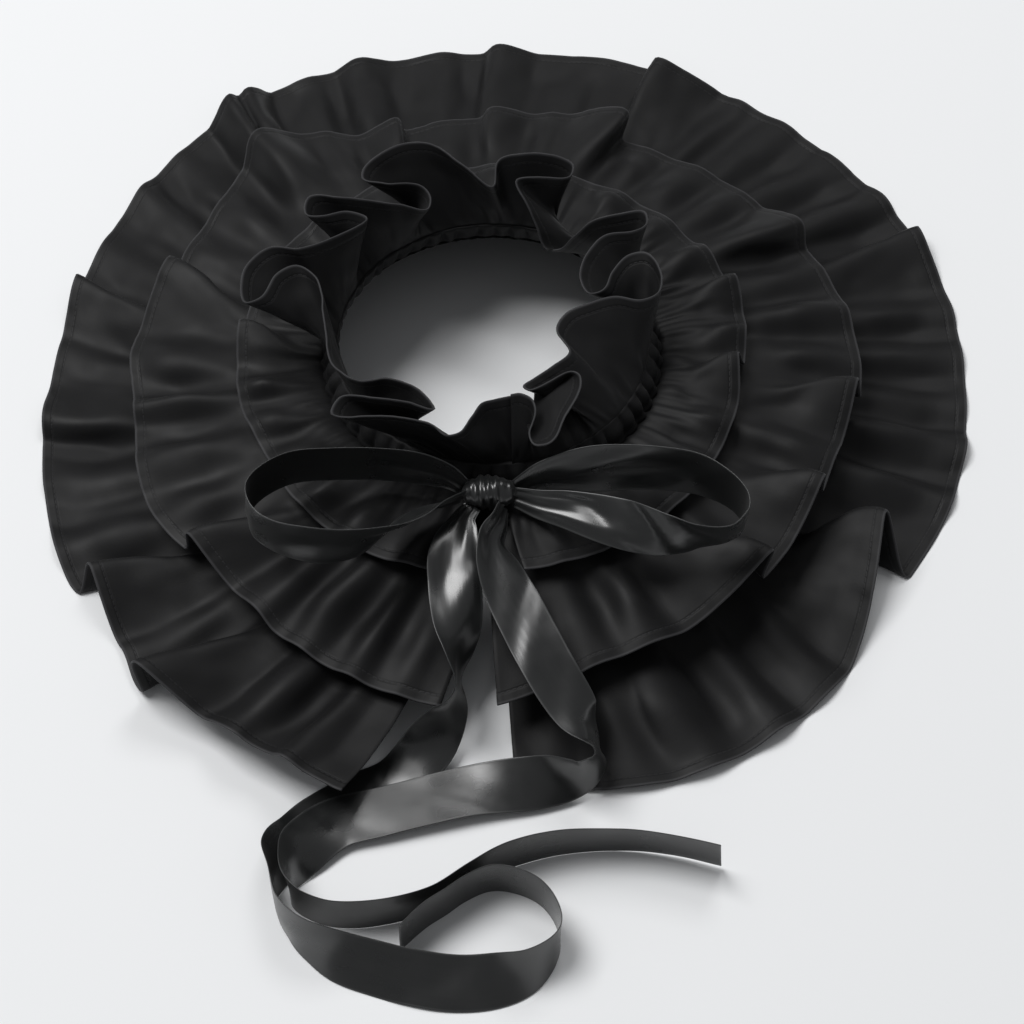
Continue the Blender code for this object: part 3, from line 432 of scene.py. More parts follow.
def seam_gathers(points, height):
    """Rise of the fine gathers at the seam. It depends on the place alone, so the tiers nest."""
    turn = np.degrees(np.arctan2(-points[..., 0], -points[..., 1])) % 360.0
    radius = np.hypot(points[..., 0], points[..., 1])
    out = radius - SEAM_RADIUS
    dice = np.random.default_rng(GATHER_SEED)
    rise = np.zeros(turn.shape)
    for k in range(GATHERS):
        middle = (k + dice.uniform(-0.28, 0.28)) * 360.0 / GATHERS
        half = dice.uniform(1.3, 2.2)
        reach = dice.uniform(14.0, 52.0)
        tall = height * dice.uniform(0.55, 1.35)
        away = (turn - middle + 180.0) % 360.0 - 180.0
        across = np.radians(away) * radius / (half * (1.0 + np.maximum(out, 0.0) / 60.0))
        along = ease((out + 4.0) / 12.0) * (1.0 - ease((out - 0.35 * reach) / (0.65 * reach)))
        rise += tall * np.exp(-across**2) * along
    return rise


def crease_rise(tier, creases, turns, depths):
    """Rise and fall of a tier's creases, over its columns and rows."""
    keys = [row.turn for row in tier.hem]
    hem_radius = smooth_read(keys, [row.radius for row in tier.hem], turns)[:, None]
    radius = SEAM_RADIUS + (hem_radius - SEAM_RADIUS) * depths
    rise = np.zeros(np.broadcast(turns[:, None], depths).shape)
    for crease in creases:
        middle = 0.5 * (crease.start + crease.stop)
        turn = crease.turn + crease.slant * (depths - middle)
        across = np.radians(turns[:, None] - turn) * radius / crease.width
        along = (depths - crease.start) / (crease.stop - crease.start)
        soft = np.where((along > 0.0) & (along < 1.0), np.sin(math.pi * np.clip(along, 0.0, 1.0)), 0.0)
        rise += crease.height * np.exp(-across**2) * soft
    return rise


def loose_creases(tier, seed, count, depth_from):
    """Small creases strewn over a tier, each with its own place, length and height."""
    dice = np.random.default_rng(seed)
    first, last = tier.hem[0].turn, tier.hem[-1].turn
    found = []
    for k in range(count):
        turn = first + (last - first) * (k + dice.uniform(0.1, 0.9)) / count
        start = dice.uniform(depth_from, 0.55)
        stop = start + dice.uniform(0.25, 0.5)
        width = dice.uniform(3.5, 9.0)
        height = width * dice.uniform(0.14, 0.28) * dice.choice([-1.0, 1.0])
        found.append(Crease(turn, start, stop, width, height, dice.uniform(-13.0, 13.0)))
    return found


def from_edge(points):
    """Distance of a grid's points from its last row, along each column."""
    steps = np.linalg.norm(np.diff(points, axis=1), axis=2)
    return np.pad(np.cumsum(steps[:, ::-1], axis=1)[:, ::-1], ((0, 0), (0, 1)))


def hem_wall(v, sizes):
    """Half the cloth's thickness in mm, more where the hem is turned in."""
    turned = 0.5 - 0.5 * np.tanh((v - sizes.hem_width / MM) / HEM_STEP)
    return 0.5 / MM * (sizes.cloth_thickness + sizes.hem_extra * turned)


def cloth_object(name, places, faces, flat, material):
    """A smooth piece from points in mm round the neck, with their places in the flat cloth in metres."""
    mesh = bpy.data.meshes.new(name)
    mesh.from_pydata(((places + NECK) * MM).tolist(), [], faces)
    layer = mesh.uv_layers.new(name="cloth")
    corners = np.zeros(len(mesh.loops), np.int32)
    mesh.loops.foreach_get("vertex_index", corners)
    layer.data.foreach_set("uv", flat[corners].astype(np.float32).ravel())
    mesh.materials.append(material)
    mesh.shade_smooth()
    mesh.update()
    piece = bpy.data.objects.new(name, mesh)
    bpy.context.scene.collection.objects.link(piece)
    return piece


def closed_sheet(name, points, half, u, v, material):
    """One thin closed piece of cloth, half its thickness to each side of a grid of points in mm.

    A last narrow ring at the border rounds the edge. The UV map holds metres: u along the
    cloth and v in from its free edge.
    """
    along, down = grid_directions(points)
    columns, rows = points.shape[:2]
    grid = np.zeros((columns + 2, rows + 2, 3))
    grid[1:-1, 1:-1] = points
    edge = RIM_REACH * half
    grid[1:-1, 0] = points[:, 0] - down[:, 0] * edge[:, :1]
    grid[1:-1, -1] = points[:, -1] + down[:, -1] * edge[:, -1:]
    grid[0, 1:-1] = points[0] - along[0] * edge[0][:, None]
    grid[-1, 1:-1] = points[-1] + along[-1] * edge[-1][:, None]
    for i, column in ((0, 1), (-1, -2)):
        for j, row in ((0, 1), (-1, -2)):
            grid[i, j] = 0.5 * (grid[i, row] + grid[column, j])
    wall = np.pad(half, 1, mode="edge")
    wall *= np.pad(np.ones(half.shape), 1, constant_values=RIM_SHARE)
    normal = np.pad(grid_normals(points), ((1, 1), (1, 1), (0, 0)), mode="edge")
    upper = grid + normal * wall[..., None]
    lower = grid - normal * wall[..., None]
    columns, rows = columns + 2, rows + 2
    places = np.concatenate([upper.reshape(-1, 3), lower.reshape(-1, 3)])
    places[:, 2] = np.maximum(places[:, 2], LEAST_HEIGHT)

    number = np.arange(columns * rows).reshape(columns, rows)
    a, b, c, d = number[:-1, :-1], number[1:, :-1], number[1:, 1:], number[:-1, 1:]
    face = np.stack([a, b, c, d], axis=-1).reshape(-1, 4)
    back = face[:, ::-1] + columns * rows
    ring = np.concatenate([number[:, 0], number[-1, 1:], number[-2::-1, -1], number[0, -2:0:-1]])
    following = np.roll(ring, -1)
    rim = np.stack([ring, ring + columns * rows, following + columns * rows, following], axis=-1)
    faces = np.concatenate([face, back, rim])

    map_u = np.broadcast_to(np.pad(u, 1, mode="edge")[:, None], (columns, rows))
    flat = np.stack([map_u, np.pad(v, 1, mode="edge")], axis=-1).reshape(-1, 2) * MM
    return cloth_object(name, places, faces.tolist(), np.concatenate([flat, flat]), material)


def dress(piece, node):
    """Put a finished piece on the collar in place of its solid."""
    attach(piece, "root")
    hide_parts(node)
    return piece


def tier_piece(name, tier, columns, creases, seed, strewn, material, sizes):
    """A tier in its finer form, with gathers, creases, a turned hem and soft buckling."""
    first, last = tier.hem[0].turn, tier.hem[-1].turn
    fine = np.linspace(first, last, 8 * columns)
    hem_line = tier_surface(tier, fine, np.ones((1, 1)))[:, 0]
    lengths = path_lengths(hem_line)
    u = np.linspace(0.0, lengths[-1], columns)
    turns = np.interp(u, lengths, fine)

    depth_mm = float(np.mean([row.radius for row in tier.hem])) - SEAM_RADIUS
    inner = np.linspace(0.0, 1.0 - HEM_BAND / depth_mm, max(int(depth_mm / TIER_ROW_STEP), 8))
    depths = np.concatenate([inner, 1.0 - np.array(HEM_ROWS) / depth_mm])[None, :]

    points = tier_surface(tier, turns, depths)
    gather = sizes.gather_height / MM
    out = np.hypot(points[..., 0], points[..., 1]) - SEAM_RADIUS
    points[..., 2] += seam_gathers(points, gather) - 0.35 * gather * ease(out / 12.0)
    v = from_edge(points)

    push = crease_rise(tier, creases + loose_creases(tier, seed, strewn, 0.18), turns, depths)
    clear = ease((depths - 0.06) / 0.2)
    push += clear * sizes.buckle_height / MM * cloth_waves(u[:, None], v, seed, 14.0, 46.0)
    push *= clear
    # The hem puckers a little along its stitching
    pucker = cloth_waves(u[:, None], 0.0 * v, seed + 1, 6.0, 15.0, 14)
    push += 0.16 * np.exp(-((v - 3.0) / 4.0)**2) * pucker
    points = points + grid_normals(points) * push[..., None]

    half = hem_wall(v, sizes)
    points[..., 2] = np.maximum(points[..., 2], half + CLOTH_CLEARANCE)
    return closed_sheet(name, points, half, u, v, material)


def ruffle_piece(name, material, sizes):
    """The neck ruffle in its finer form: gathered foot, rippled body and a rolled upper edge."""
    columns = RUFFLE_COLUMNS
    edge = ring_points(*np.array(RUFFLE_EDGE, float).T)
    chords = path_lengths(edge)
    keys = np.linspace(0.0, chords[-1], 8 * columns)
    curve = smooth_read(chords, edge, keys)
    lengths = path_lengths(curve)
    u = np.linspace(0.0, lengths[-1], columns)
    top = smooth_read(chords, edge, np.interp(u, lengths, keys))
    share = np.linspace(0.0, 1.0, columns)
    foot_radius = RUFFLE_START_RADIUS + (RUFFLE_END_RADIUS - RUFFLE_START_RADIUS) * share
    turns = RUFFLE_FOOT_START + (RUFFLE_FOOT_END - RUFFLE_FOOT_START) * share
    foot = ring_points(turns, foot_radius, RUFFLE_FOOT_HEIGHT)

    depths = np.concatenate([np.linspace(0.0, 0.80, 18), [0.84, 0.87, 0.89, 0.91, 0.94, 0.97, 0.99, 1.0]])
    blend = (depths**1.25)[None, :, None]
    points = foot[:, None] * (1.0 - blend) + top[:, None] * blend
    points[..., 2] = foot[:, None, 2] + (top - foot)[:, None, 2] * depths[None, :]
    for bulge in RUFFLE_BULGES:
        across = 1.0 - np.abs(turns - bulge.turn) / bulge.half
        down = 1.0 - np.abs(depths - bulge.depth) / max(bulge.depth, 1.0 - bulge.depth)
        sag = bulge.inward * ease(across)[:, None] * ease(down)[None, :]
        reach = np.linalg.norm(points[..., :2], axis=2)
        points[..., :2] *= (1.0 - sag / reach)[..., None]
    v = from_edge(points)

    dice = np.random.default_rng(RUFFLE_SEED)
    push = np.zeros(v.shape)
    for k in range(RUFFLE_GATHERS):
        middle = lengths[-1] * (k + dice.uniform(0.1, 0.9)) / RUFFLE_GATHERS
        width = dice.uniform(3.0, 5.5)
        reach = dice.uniform(0.35, 0.9)
        tall = dice.uniform(0.3, 0.9) * dice.choice([-1.0, 1.0])
        across = (u[:, None] - middle) / width
        fading = 1.0 - ease((depths - 0.3 * reach) / (0.7 * reach))
        push += tall * np.exp(-across**2) * ease(depths / 0.12) * fading
    push += 0.22 * ease(depths / 0.3) * cloth_waves(u[:, None], v, RUFFLE_SEED + 2, 12.0, 34.0)
    pucker = cloth_waves(u[:, None], 0.0 * v, RUFFLE_SEED + 3, 5.0, 12.0, 12)
    push += 0.12 * np.exp(-((v - 2.0) / 3.0)**2) * pucker
    points = points + grid_normals(points) * push[..., None]
    return closed_sheet(name, points, hem_wall(v, sizes), u, v, material)


def tube_faces(rings, size):
    """Faces of a closed tube, given as rings of points one after another, with a cap at each end."""
    number = np.arange(rings * size).reshape(rings, size)
    following = np.roll(number, -1, axis=1)
    walls = np.stack([number[:-1], number[1:], following[1:], following[:-1]], axis=-1)
    return walls.reshape(-1, 4).tolist() + [number[0].tolist(), number[-1, ::-1].tolist()]


def casing_piece(name, material, sizes):
    """The shirred casing: a flat tube drawn up on its ribbon into uneven rounded gathers."""
    low = np.array([CASING_LOW_RADIUS, CASING_LOW_HEIGHT])
    top = np.array([CASING_TOP_RADIUS, CASING_TOP_HEIGHT])
    up = (top - low) / np.linalg.norm(top - low)
    out = np.array([up[1], -up[0]])
    section = np.array(CASING_SECTION)
    dice = np.random.default_rng(CASING_SEED)
    middles = np.arange(CASING_GATHERS + 1) + dice.uniform(-0.16, 0.16, CASING_GATHERS + 1)
    middles[0], middles[-1] = 0.0, CASING_GATHERS
    tall = dice.uniform(0.6, 1.25, CASING_GATHERS)
    lean = dice.uniform(-0.25, 0.25, CASING_GATHERS)
    place = np.linspace(0.0, CASING_GATHERS, CASING_GATHERS * CASING_COLUMNS_A_GATHER + 1)
    places = []
    for share, offset, part in section:
        drift = 0.9 * (share - 0.5) * np.interp(place, middles[:-1], lean)
        shifted = np.clip(place + drift, 0.0, CASING_GATHERS)
        k = np.clip(np.searchsorted(middles, shifted, side="right") - 1, 0, CASING_GATHERS - 1)
        across = np.clip((shifted - middles[k]) / (middles[k + 1] - middles[k]), 0.0, 1.0)
        puff = (np.sin(math.pi * across)**0.75 - 0.55) * tall[k] * sizes.casing_puff / MM
        spot = low + up * (share * np.linalg.norm(top - low))
        reach = offset + part * puff
        turn = CASING_START + (CASING_END - CASING_START) * place / CASING_GATHERS
        places.append(ring_points(turn, spot[0] + out[0] * reach, spot[1] + out[1] * reach))
    grid = np.stack(places, axis=1)
    u = np.linspace(0.0, 0.5, len(grid))
    v = path_lengths(np.stack([section[:, 0] * 14.6, section[:, 1]], axis=1)) * MM + 0.05
    flat = np.stack(np.meshgrid(u, v, indexing="ij"), axis=-1).reshape(-1, 2)
    return cloth_object(name, grid.reshape(-1, 3), tube_faces(*grid.shape[:2]), flat, material)


def ribbon_piece(name, stops, wrinkles, seed, material, sizes):
    """A stretch of ribbon in its finer form, cupped and wrinkled where it is drawn together."""
    middle = np.array([[stop.x, stop.y, stop.z] for stop in stops])
    chords = path_lengths(middle)
    columns = int(chords[-1] / RIBBON_COLUMN_STEP)
    at = np.linspace(0.0, chords[-1], columns)
    along = smooth_read(chords, middle, np.minimum(at + 1.0, chords[-1]))
    along -= smooth_read(chords, middle, np.maximum(at - 1.0, 0.0))
    along /= np.linalg.norm(along, axis=1, keepdims=True)
    side = np.cross(along, [0.0, 0.0, 1.0])
    side /= np.linalg.norm(side, axis=1, keepdims=True)
    rise = np.cross(side, along)
    roll = np.radians(smooth_read(chords, [stop.roll for stop in stops], at))[:, None]
    width = smooth_read(chords, [stop.width for stop in stops], at)
    across = (side * np.cos(roll) + rise * np.sin(roll)) * (0.5 * width)[:, None]
    point = smooth_read(chords, middle, at)
    point[:, 2] = np.maximum(point[:, 2], 0.5 * RIBBON_WALL + np.abs(across[:, 2]))
    spread = np.array(RIBBON_SPREAD)[None, :]
    points = point[:, None] + across[:, None] * spread[..., None]

    full = max(stop.width for stop in stops)
    drawn = 1.0 - width / full
    u = path_lengths(point)
    flat = spread * 0.5 * full
    # Lengthwise pleats where the ribbon is pulled narrow
    pleats = np.cos(spread * math.pi * 3.0 + 0.6) * ease(1.0 - np.abs(spread)) ** 0.5
    push = (2.2 * drawn)[:, None] * pleats
    for wrinkle in wrinkles:
        turn = math.radians(wrinkle.angle)
        run = u[:, None] - wrinkle.at
        off = flat - wrinkle.across * 0.5 * full
        lengthwise = run * math.cos(turn) + off * math.sin(turn)
        crosswise = off * math.cos(turn) - run * math.sin(turn)
        away = (crosswise / wrinkle.width)**2 + (lengthwise / (0.5 * wrinkle.length))**2
        push += wrinkle.height * np.exp(-away)
    push += 0.10 * cloth_waves(u[:, None], flat, seed, 18.0, 60.0)
    push += 0.35 * (1.0 - spread**2) * np.sin(u / 47.0 + seed)[:, None]
    points = points + grid_normals(points) * push[..., None]
    half = np.full(push.shape, 0.5 * sizes.ribbon_thickness / MM)
    points[..., 2] = np.maximum(points[..., 2], half + RIBBON_CLEARANCE)
    v = (0.5 * full - np.abs(flat)) * np.ones((columns, 1))
    return closed_sheet(name, points, half, u, v, material)


def knot_piece(name, material):
    """The knot: ribbon wrapped tight over itself, pleated round the middle."""
    angle = np.linspace(0.0, 2.0 * math.pi, KNOT_AROUND, endpoint=False)[None, :]
    tilt = np.linspace(0.04, math.pi - 0.04, KNOT_OVER)[:, None]
    x = np.cos(tilt) * np.ones_like(angle)
    ring = np.sin(tilt)
    pleat = np.cos(7.0 * math.pi * x + 1.3 * np.sin(angle + 0.4)) * 0.07 * ring
    pleat = pleat + 0.05 * np.cos(3.0 * angle + 5.0 * x) * ring
    waist = 1.0 - 0.12 * np.exp(-((np.abs(x) - 0.55) / 0.12)**2)
    y = np.cos(angle) * ring * (waist + pleat)
    z = np.sin(angle) * ring * (waist + pleat)
    back = np.maximum(y, 0.0)
    y = np.where(y > 0.0, y * KNOT_BACK / KNOT_HALF[1], y)
    z = z * KNOT_HALF[2] - KNOT_BACK_DROP * back**2
    points = np.stack([x * KNOT_HALF[0], y * KNOT_HALF[1], z], axis=-1) + np.array(KNOT)
    flat = np.stack([np.broadcast_to(angle * 0.008, x.shape),
                     np.broadcast_to(0.004 + 0.006 * np.abs(np.sin(4.0 * tilt)), x.shape)], axis=-1)
    return cloth_object(name, points.reshape(-1, 3), tube_faces(*x.shape), flat.reshape(-1, 2), material)


def put(tree, kind, x, y, **settings):
    """A node of one kind at a place in a node tree, with its settings."""
    node = tree.nodes.new(kind)
    node.location = (x, y)
    for key, value in settings.items():
        setattr(node, key, value)
    return node


def calculate(tree, operation, x, y, first, second=None, third=None):
    """A Math node fed by sockets or numbers; gives its output."""
    node = put(tree, "ShaderNodeMath", x, y, operation=operation)
    for socket, value in zip(node.inputs, (first, second, third)):
        if value is None:
            continue
        if isinstance(value, (int, float)):
            socket.default_value = value
        else:
            tree.links.new(value, socket)
    return node.outputs[0]


def fade(tree, x, y, value, low, high, out_low=0.0, out_high=1.0):
    """A soft step of a value from one level to another; gives its output."""
    node = put(tree, "ShaderNodeMapRange", x, y, interpolation_type="SMOOTHSTEP")
    tree.links.new(value, node.inputs["Value"])
    for socket, setting in zip(node.inputs[1:5], (low, high, out_low, out_high)):
        if isinstance(setting, (int, float)):
            socket.default_value = setting
        else:
            tree.links.new(setting, socket)
    return node.outputs["Result"]


def made_once(store, name, make, *values):
    """A material or a node group by name, made the first time it is asked for."""
    return store.get(name) or make(name, *values)


def new_group(name, inputs, outputs):
    """An empty shader node group with its sockets; inputs are (name, kind, default)."""
    group = bpy.data.node_groups.new(name, "ShaderNodeTree")
    for label, kind, default in inputs:
        socket = group.interface.new_socket(name=label, in_out="INPUT", socket_type=kind)
        if default is not None:
            socket.default_value = default
    for label, kind in outputs:
        group.interface.new_socket(name=label, in_out="OUTPUT", socket_type=kind)
    start = put(group, "NodeGroupInput", -900, 0)
    end = put(group, "NodeGroupOutput", 900, 0)
    return group, start, end


def weave_group(name):
    """Woven threads, raised in turn along and across the cloth."""
    group, start, end = new_group(
        name, [("Cloth", "NodeSocketVector", None), ("Thread pitch", "NodeSocketFloat", 0.0004)],
        [("Height", "NodeSocketFloat")])
    split = put(group, "ShaderNodeSeparateXYZ", -700, 0)
    group.links.new(start.outputs["Cloth"], split.inputs[0])
    rate = calculate(group, "DIVIDE", -700, -200, 2.0 * math.pi, start.outputs["Thread pitch"])
    waves = []
    for axis, y in (("X", 100), ("Y", -100)):
        turns = calculate(group, "MULTIPLY", -500, y, split.outputs[axis], rate)
        waves.append(calculate(group, "SINE", -300, y, turns))
    both = calculate(group, "MULTIPLY", -100, 0, *waves)
    group.links.new(calculate(group, "MULTIPLY_ADD", 100, 0, both, 0.5, 0.5), end.inputs["Height"])
    return group


def mottle_group(name):
    """Uneven cloth: broad soft patches and a finer grain."""
    group, start, end = new_group(
        name, [("Cloth", "NodeSocketVector", None), ("Patch size", "NodeSocketFloat", 0.03),
         ("Grain size", "NodeSocketFloat", 0.002)],
        [("Patches", "NodeSocketFloat"), ("Grain", "NodeSocketFloat")])
    for label, size, y, detail in (("Patches", "Patch size", 150, 2.0), ("Grain", "Grain size", -150, 3.0)):
        noise = put(group, "ShaderNodeTexNoise", 0, y)
        noise.inputs["Detail"].default_value = detail
        group.links.new(start.outputs["Cloth"], noise.inputs["Vector"])
        group.links.new(calculate(group, "DIVIDE", -300, y, 1.0, start.outputs[size]), noise.inputs["Scale"])
        group.links.new(noise.outputs["Fac"], end.inputs[label])
    return group


def hem_group(name):
    """Turned hem: a row of stitches a little in from the edge, the dip they pull, and a painted highlight
    along the edge.
    """
    group, start, end = new_group(
        name, [("Cloth", "NodeSocketVector", None), ("Hem width", "NodeSocketFloat", 0.005),
         ("Stitch length", "NodeSocketFloat", 0.003)],
        [("Stitches", "NodeSocketFloat"), ("Dip", "NodeSocketFloat"), ("Edge", "NodeSocketFloat")])
    split = put(group, "ShaderNodeSeparateXYZ", -700, 0)
    group.links.new(start.outputs["Cloth"], split.inputs[0])
    off = calculate(group, "SUBTRACT", -500, 0, split.outputs["Y"], start.outputs["Hem width"])
    off = calculate(group, "ABSOLUTE", -350, 0, off)
    line = fade(group, -150, 100, off, 0.00010, 0.00045, 1.0, 0.0)
    dip = fade(group, -150, -100, off, 0.0, 0.0012, 1.0, 0.0)
    stitch = calculate(group, "DIVIDE", -500, 250, split.outputs["X"], start.outputs["Stitch length"])
    step = calculate(group, "SUBTRACT", -250, 300, calculate(group, "FRACT", -350, 250, stitch), 0.5)
    thread = fade(group, -150, 250, calculate(group, "ABSOLUTE", -200, 300, step), 0.30, 0.40, 1.0, 0.0)
    group.links.new(calculate(group, "MULTIPLY", 100, 150, line, thread), end.inputs["Stitches"])
    group.links.new(dip, end.inputs["Dip"])
    # Edge: mask for a painted highlight, a thin light line on the rolled edge where it would catch the light
    group.links.new(fade(group, -150, -300, split.outputs["Y"], 0.0003, 0.0014, 1.0, 0.0), end.inputs["Edge"])
    return group


def placed(tree, name, make, x, y, cloth, **values):
    """A group's node in a material, fed with the place in the cloth and with its own values."""
    node = put(tree, "ShaderNodeGroup", x, y, node_tree=made_once(bpy.data.node_groups, name, make))
    tree.links.new(cloth, node.inputs["Cloth"])
    for label, value in values.items():
        node.inputs[label.replace("_", " ")].default_value = value
    return node


def blend_colour(tree, x, y, factor, first, second):
    """A Mix node for colours; gives its output."""
    node = put(tree, "ShaderNodeMix", x, y, data_type="RGBA")
    tree.links.new(factor, node.inputs["Factor"])
    for socket, value in ((node.inputs[6], first), (node.inputs[7], second)):
        if isinstance(value, (tuple, list)):
            socket.default_value = value
        else:
            tree.links.new(value, socket)
    return node.outputs[2]


def tinted(colour, factor):
    """A colour made lighter or darker, with its alpha."""
    return tuple(min(channel * factor, 1.0) for channel in colour[:3]) + (1.0,)


def cloth_material(name, **settings):
    """A new material with some of its shader's inputs set, its tree and the place in the cloth."""
    material = bpy.data.materials.new(name)
    material.use_nodes = True
    tree = material.node_tree
    for label, value in settings.items():
        tree.nodes["Principled BSDF"].inputs[label.replace("_", " ")].default_value = value
    return material, tree, put(tree, "ShaderNodeUVMap", -1500, 0, uv_map="cloth").outputs[0]


def feed_shader(tree, shade, rough, height, strength, distance):
    """Feed a material's shader with colour, roughness and a bump of this strength and distance."""
    bump = put(tree, "ShaderNodeBump", -200, -150)
    bump.inputs["Strength"].default_value = strength
    bump.inputs["Distance"].default_value = distance
    tree.links.new(height, bump.inputs["Height"])
    shader = tree.nodes["Principled BSDF"]
    for label, socket in (("Base Color", shade), ("Roughness", rough), ("Normal", bump.outputs["Normal"])):
        tree.links.new(socket, shader.inputs[label])


def sateen_material(name, colour, roughness, hemmed):
    """Soft black cotton sateen: weave, faint patches, a dull sheen, and stitched hems where it has them, with
    a painted highlight along their edges.
    """
    material, tree, cloth = cloth_material(
        name, Metallic=0.0, Sheen_Weight=0.03, Sheen_Roughness=0.4, Specular_IOR_Level=0.22)
    uneven = placed(tree, "Uneven cloth", mottle_group, -1200, 250, cloth,
                    Patch_size=0.028, Grain_size=0.0016)
    threads = placed(tree, "Woven threads", weave_group, -1200, 0, cloth, Thread_pitch=0.00042)
    shade = blend_colour(tree, -700, 300, uneven.outputs["Patches"],
                         tinted(colour, 0.75), tinted(colour, 1.3))
    height = calculate(tree, "MULTIPLY_ADD", -700, -100,
                       threads.outputs["Height"], 0.25, uneven.outputs["Grain"])
    if hemmed:
        hem = placed(tree, "Stitched hem", hem_group, -1200, -300, cloth)
        # Painted highlight: the rolled hem edge is painted much lighter than the cloth
        shade = blend_colour(tree, -500, 300, hem.outputs["Edge"], shade, tinted(colour, 5.5))
        shade = blend_colour(tree, -300, 300, hem.outputs["Stitches"], shade, tinted(colour, 2.2))
        height = calculate(tree, "MULTIPLY_ADD", -500, -100, hem.outputs["Stitches"], 3.0, height)
        height = calculate(tree, "MULTIPLY_ADD", -350, -100, hem.outputs["Dip"], -5.0, height)
    rough = fade(tree, -500, 100, uneven.outputs["Patches"], 0.3, 0.7, roughness - 0.05, roughness + 0.06)
    feed_shader(tree, shade, rough, height, 0.55, 0.00006)
    return material


def satin_material(name, colour, roughness):
    """Glossy satin ribbon: fine lengthwise threads, a firm woven edge, uneven gloss."""
    material, tree, cloth = cloth_material(name, Metallic=0.0, Specular_IOR_Level=0.9, Sheen_Weight=0.05)
    stretched = put(tree, "ShaderNodeMapping", -1350, -200)
    stretched.inputs["Scale"].default_value = (0.06, 1.0, 1.0)
    tree.links.new(cloth, stretched.inputs["Vector"])
    uneven = placed(tree, "Uneven cloth", mottle_group, -1200, 250, cloth,
                    Patch_size=0.02, Grain_size=0.001)
    lines = placed(tree, "Uneven cloth", mottle_group, -1200, -200, stretched.outputs[0],
                   Patch_size=0.002, Grain_size=0.0004)
    split = put(tree, "ShaderNodeSeparateXYZ", -1200, -450)
    tree.links.new(cloth, split.inputs[0])
    selvedge = fade(tree, -1000, -450, split.outputs["Y"], 0.0005, 0.0011, 1.0, 0.0)
    shade = blend_colour(tree, -700, 300, lines.outputs["Patches"],
                         tinted(colour, 0.8), tinted(colour, 1.25))
    shade = blend_colour(tree, -500, 300, selvedge, shade, tinted(colour, 1.8))
    rough = fade(tree, -700, 50, uneven.outputs["Patches"], 0.3, 0.7, roughness - 0.04, roughness + 0.06)
    rough = calculate(tree, "MULTIPLY_ADD", -500, 50, selvedge, 0.12, rough)
    height = calculate(tree, "MULTIPLY_ADD", -600, -200, selvedge, 0.8, lines.outputs["Grain"])
    feed_shader(tree, shade, rough, height, 0.4, 0.00005)
    return material


def black_sateen(colours):
    """The cloth of the tiers and of the ruffle."""
    return made_once(bpy.data.materials, "black sateen", sateen_material, tuple(colours.sateen), 0.56, True)


def black_satin(colours):
    """The ribbon's satin."""
    return made_once(bpy.data.materials, "black satin", satin_material, tuple(colours.ribbon), 0.30)


def length_setting(label, text, default, low, high, digits):
    """A length in the panel."""
    return bpy.props.FloatProperty(
        name=label, description=text, default=default, min=low, max=high, unit="LENGTH", precision=digits)


def colour_setting(label, text, default):
    """A colour in the panel."""
    return bpy.props.FloatVectorProperty(
        name=label, description=text, subtype="COLOR", size=3, default=default, min=0.0, max=1.0)


class ClothSizes(bpy.types.PropertyGroup):
    """Sizes of the cloth and of the ribbon."""

    cloth_thickness: length_setting(
        "Cloth thickness", "Thickness of the single sateen", 0.0006, 0.0002, 0.0014, 5)
    hem_extra: length_setting(
        "Hem thickness", "What the turned hem adds to the cloth's thickness", 0.0003, 0.0, 0.001, 5)
    hem_width: length_setting(
        "Hem width", "Distance of the stitching from the edge", 0.005, 0.003, 0.008, 4)
    gather_height: length_setting(
        "Gather height", "Height of the fine gathers at the seam", 0.0015, 0.0, 0.0025, 4)
    buckle_height: length_setting(
        "Buckling", "Height of the soft uneven buckling of the tiers", 0.00035, 0.0, 0.001, 5)
    casing_puff: length_setting(
        "Casing puff", "How far the casing's gathers stand out", 0.0028, 0.0, 0.004, 4)
    ribbon_thickness: length_setting(
        "Ribbon thickness", "Thickness of the satin ribbon", 0.0004, 0.0002, 0.001, 5)


class CollarColours(bpy.types.PropertyGroup):
    """Colours of the cloth, the ribbon and the floor."""

    sateen: colour_setting("Sateen", "Colour of the tiers and the ruffle", (0.0062, 0.0062, 0.0066))
    casing: colour_setting("Casing", "Colour of the shirred casing", (0.0048, 0.0048, 0.0052))
    ribbon: colour_setting("Ribbon", "Colour of the satin ribbon", (0.0075, 0.0082, 0.0084))
    floor: colour_setting("Floor", "Colour of the surface the collar lies on", (0.89, 0.90, 0.91))


class COLLAR_OT_tiers(bpy.types.Operator):
    """Make the three gathered tiers"""

    bl_idname = "collar.tiers"
    bl_label = "Make tiers"

    def execute(self, context):
        sizes = context.scene.collar_sizes
        sateen = black_sateen(context.scene.collar_colours)
        outer = dress(tier_piece("outer_flounce", OUTER, 720, OUTER_CREASES, 101, 34, sateen, sizes),
                      "outer_tier")
        middle = dress(tier_piece("middle_flounce", MIDDLE, 600, MIDDLE_CREASES, 102, 32, sateen, sizes),
                       "middle_tier")
        top = dress(tier_piece("top_flounce", TOP, 520, TOP_CREASES, 103, 30, sateen, sizes),
                    "top_tier")
        return {"FINISHED"}


class COLLAR_OT_ruffle(bpy.types.Operator):
    """Make the ruffle that stands on the casing"""

    bl_idname = "collar.ruffle"
    bl_label = "Make neck ruffle"

    def execute(self, context):
        sizes = context.scene.collar_sizes
        sateen = black_sateen(context.scene.collar_colours)
        frill = dress(ruffle_piece("neck_frill", sateen, sizes), "neck_ruffle")
        return {"FINISHED"}


class COLLAR_OT_casing(bpy.types.Operator):
    """Make the shirred casing round the neck"""

    bl_idname = "collar.casing"
    bl_label = "Make casing"

    def execute(self, context):
        sizes = context.scene.collar_sizes
        colours = context.scene.collar_colours
        cotton = made_once(bpy.data.materials, "casing cotton", sateen_material,
                           tuple(colours.casing), 0.62, False)
        tube = dress(casing_piece("neck_casing", cotton, sizes), "neck_band")
        return {"FINISHED"}


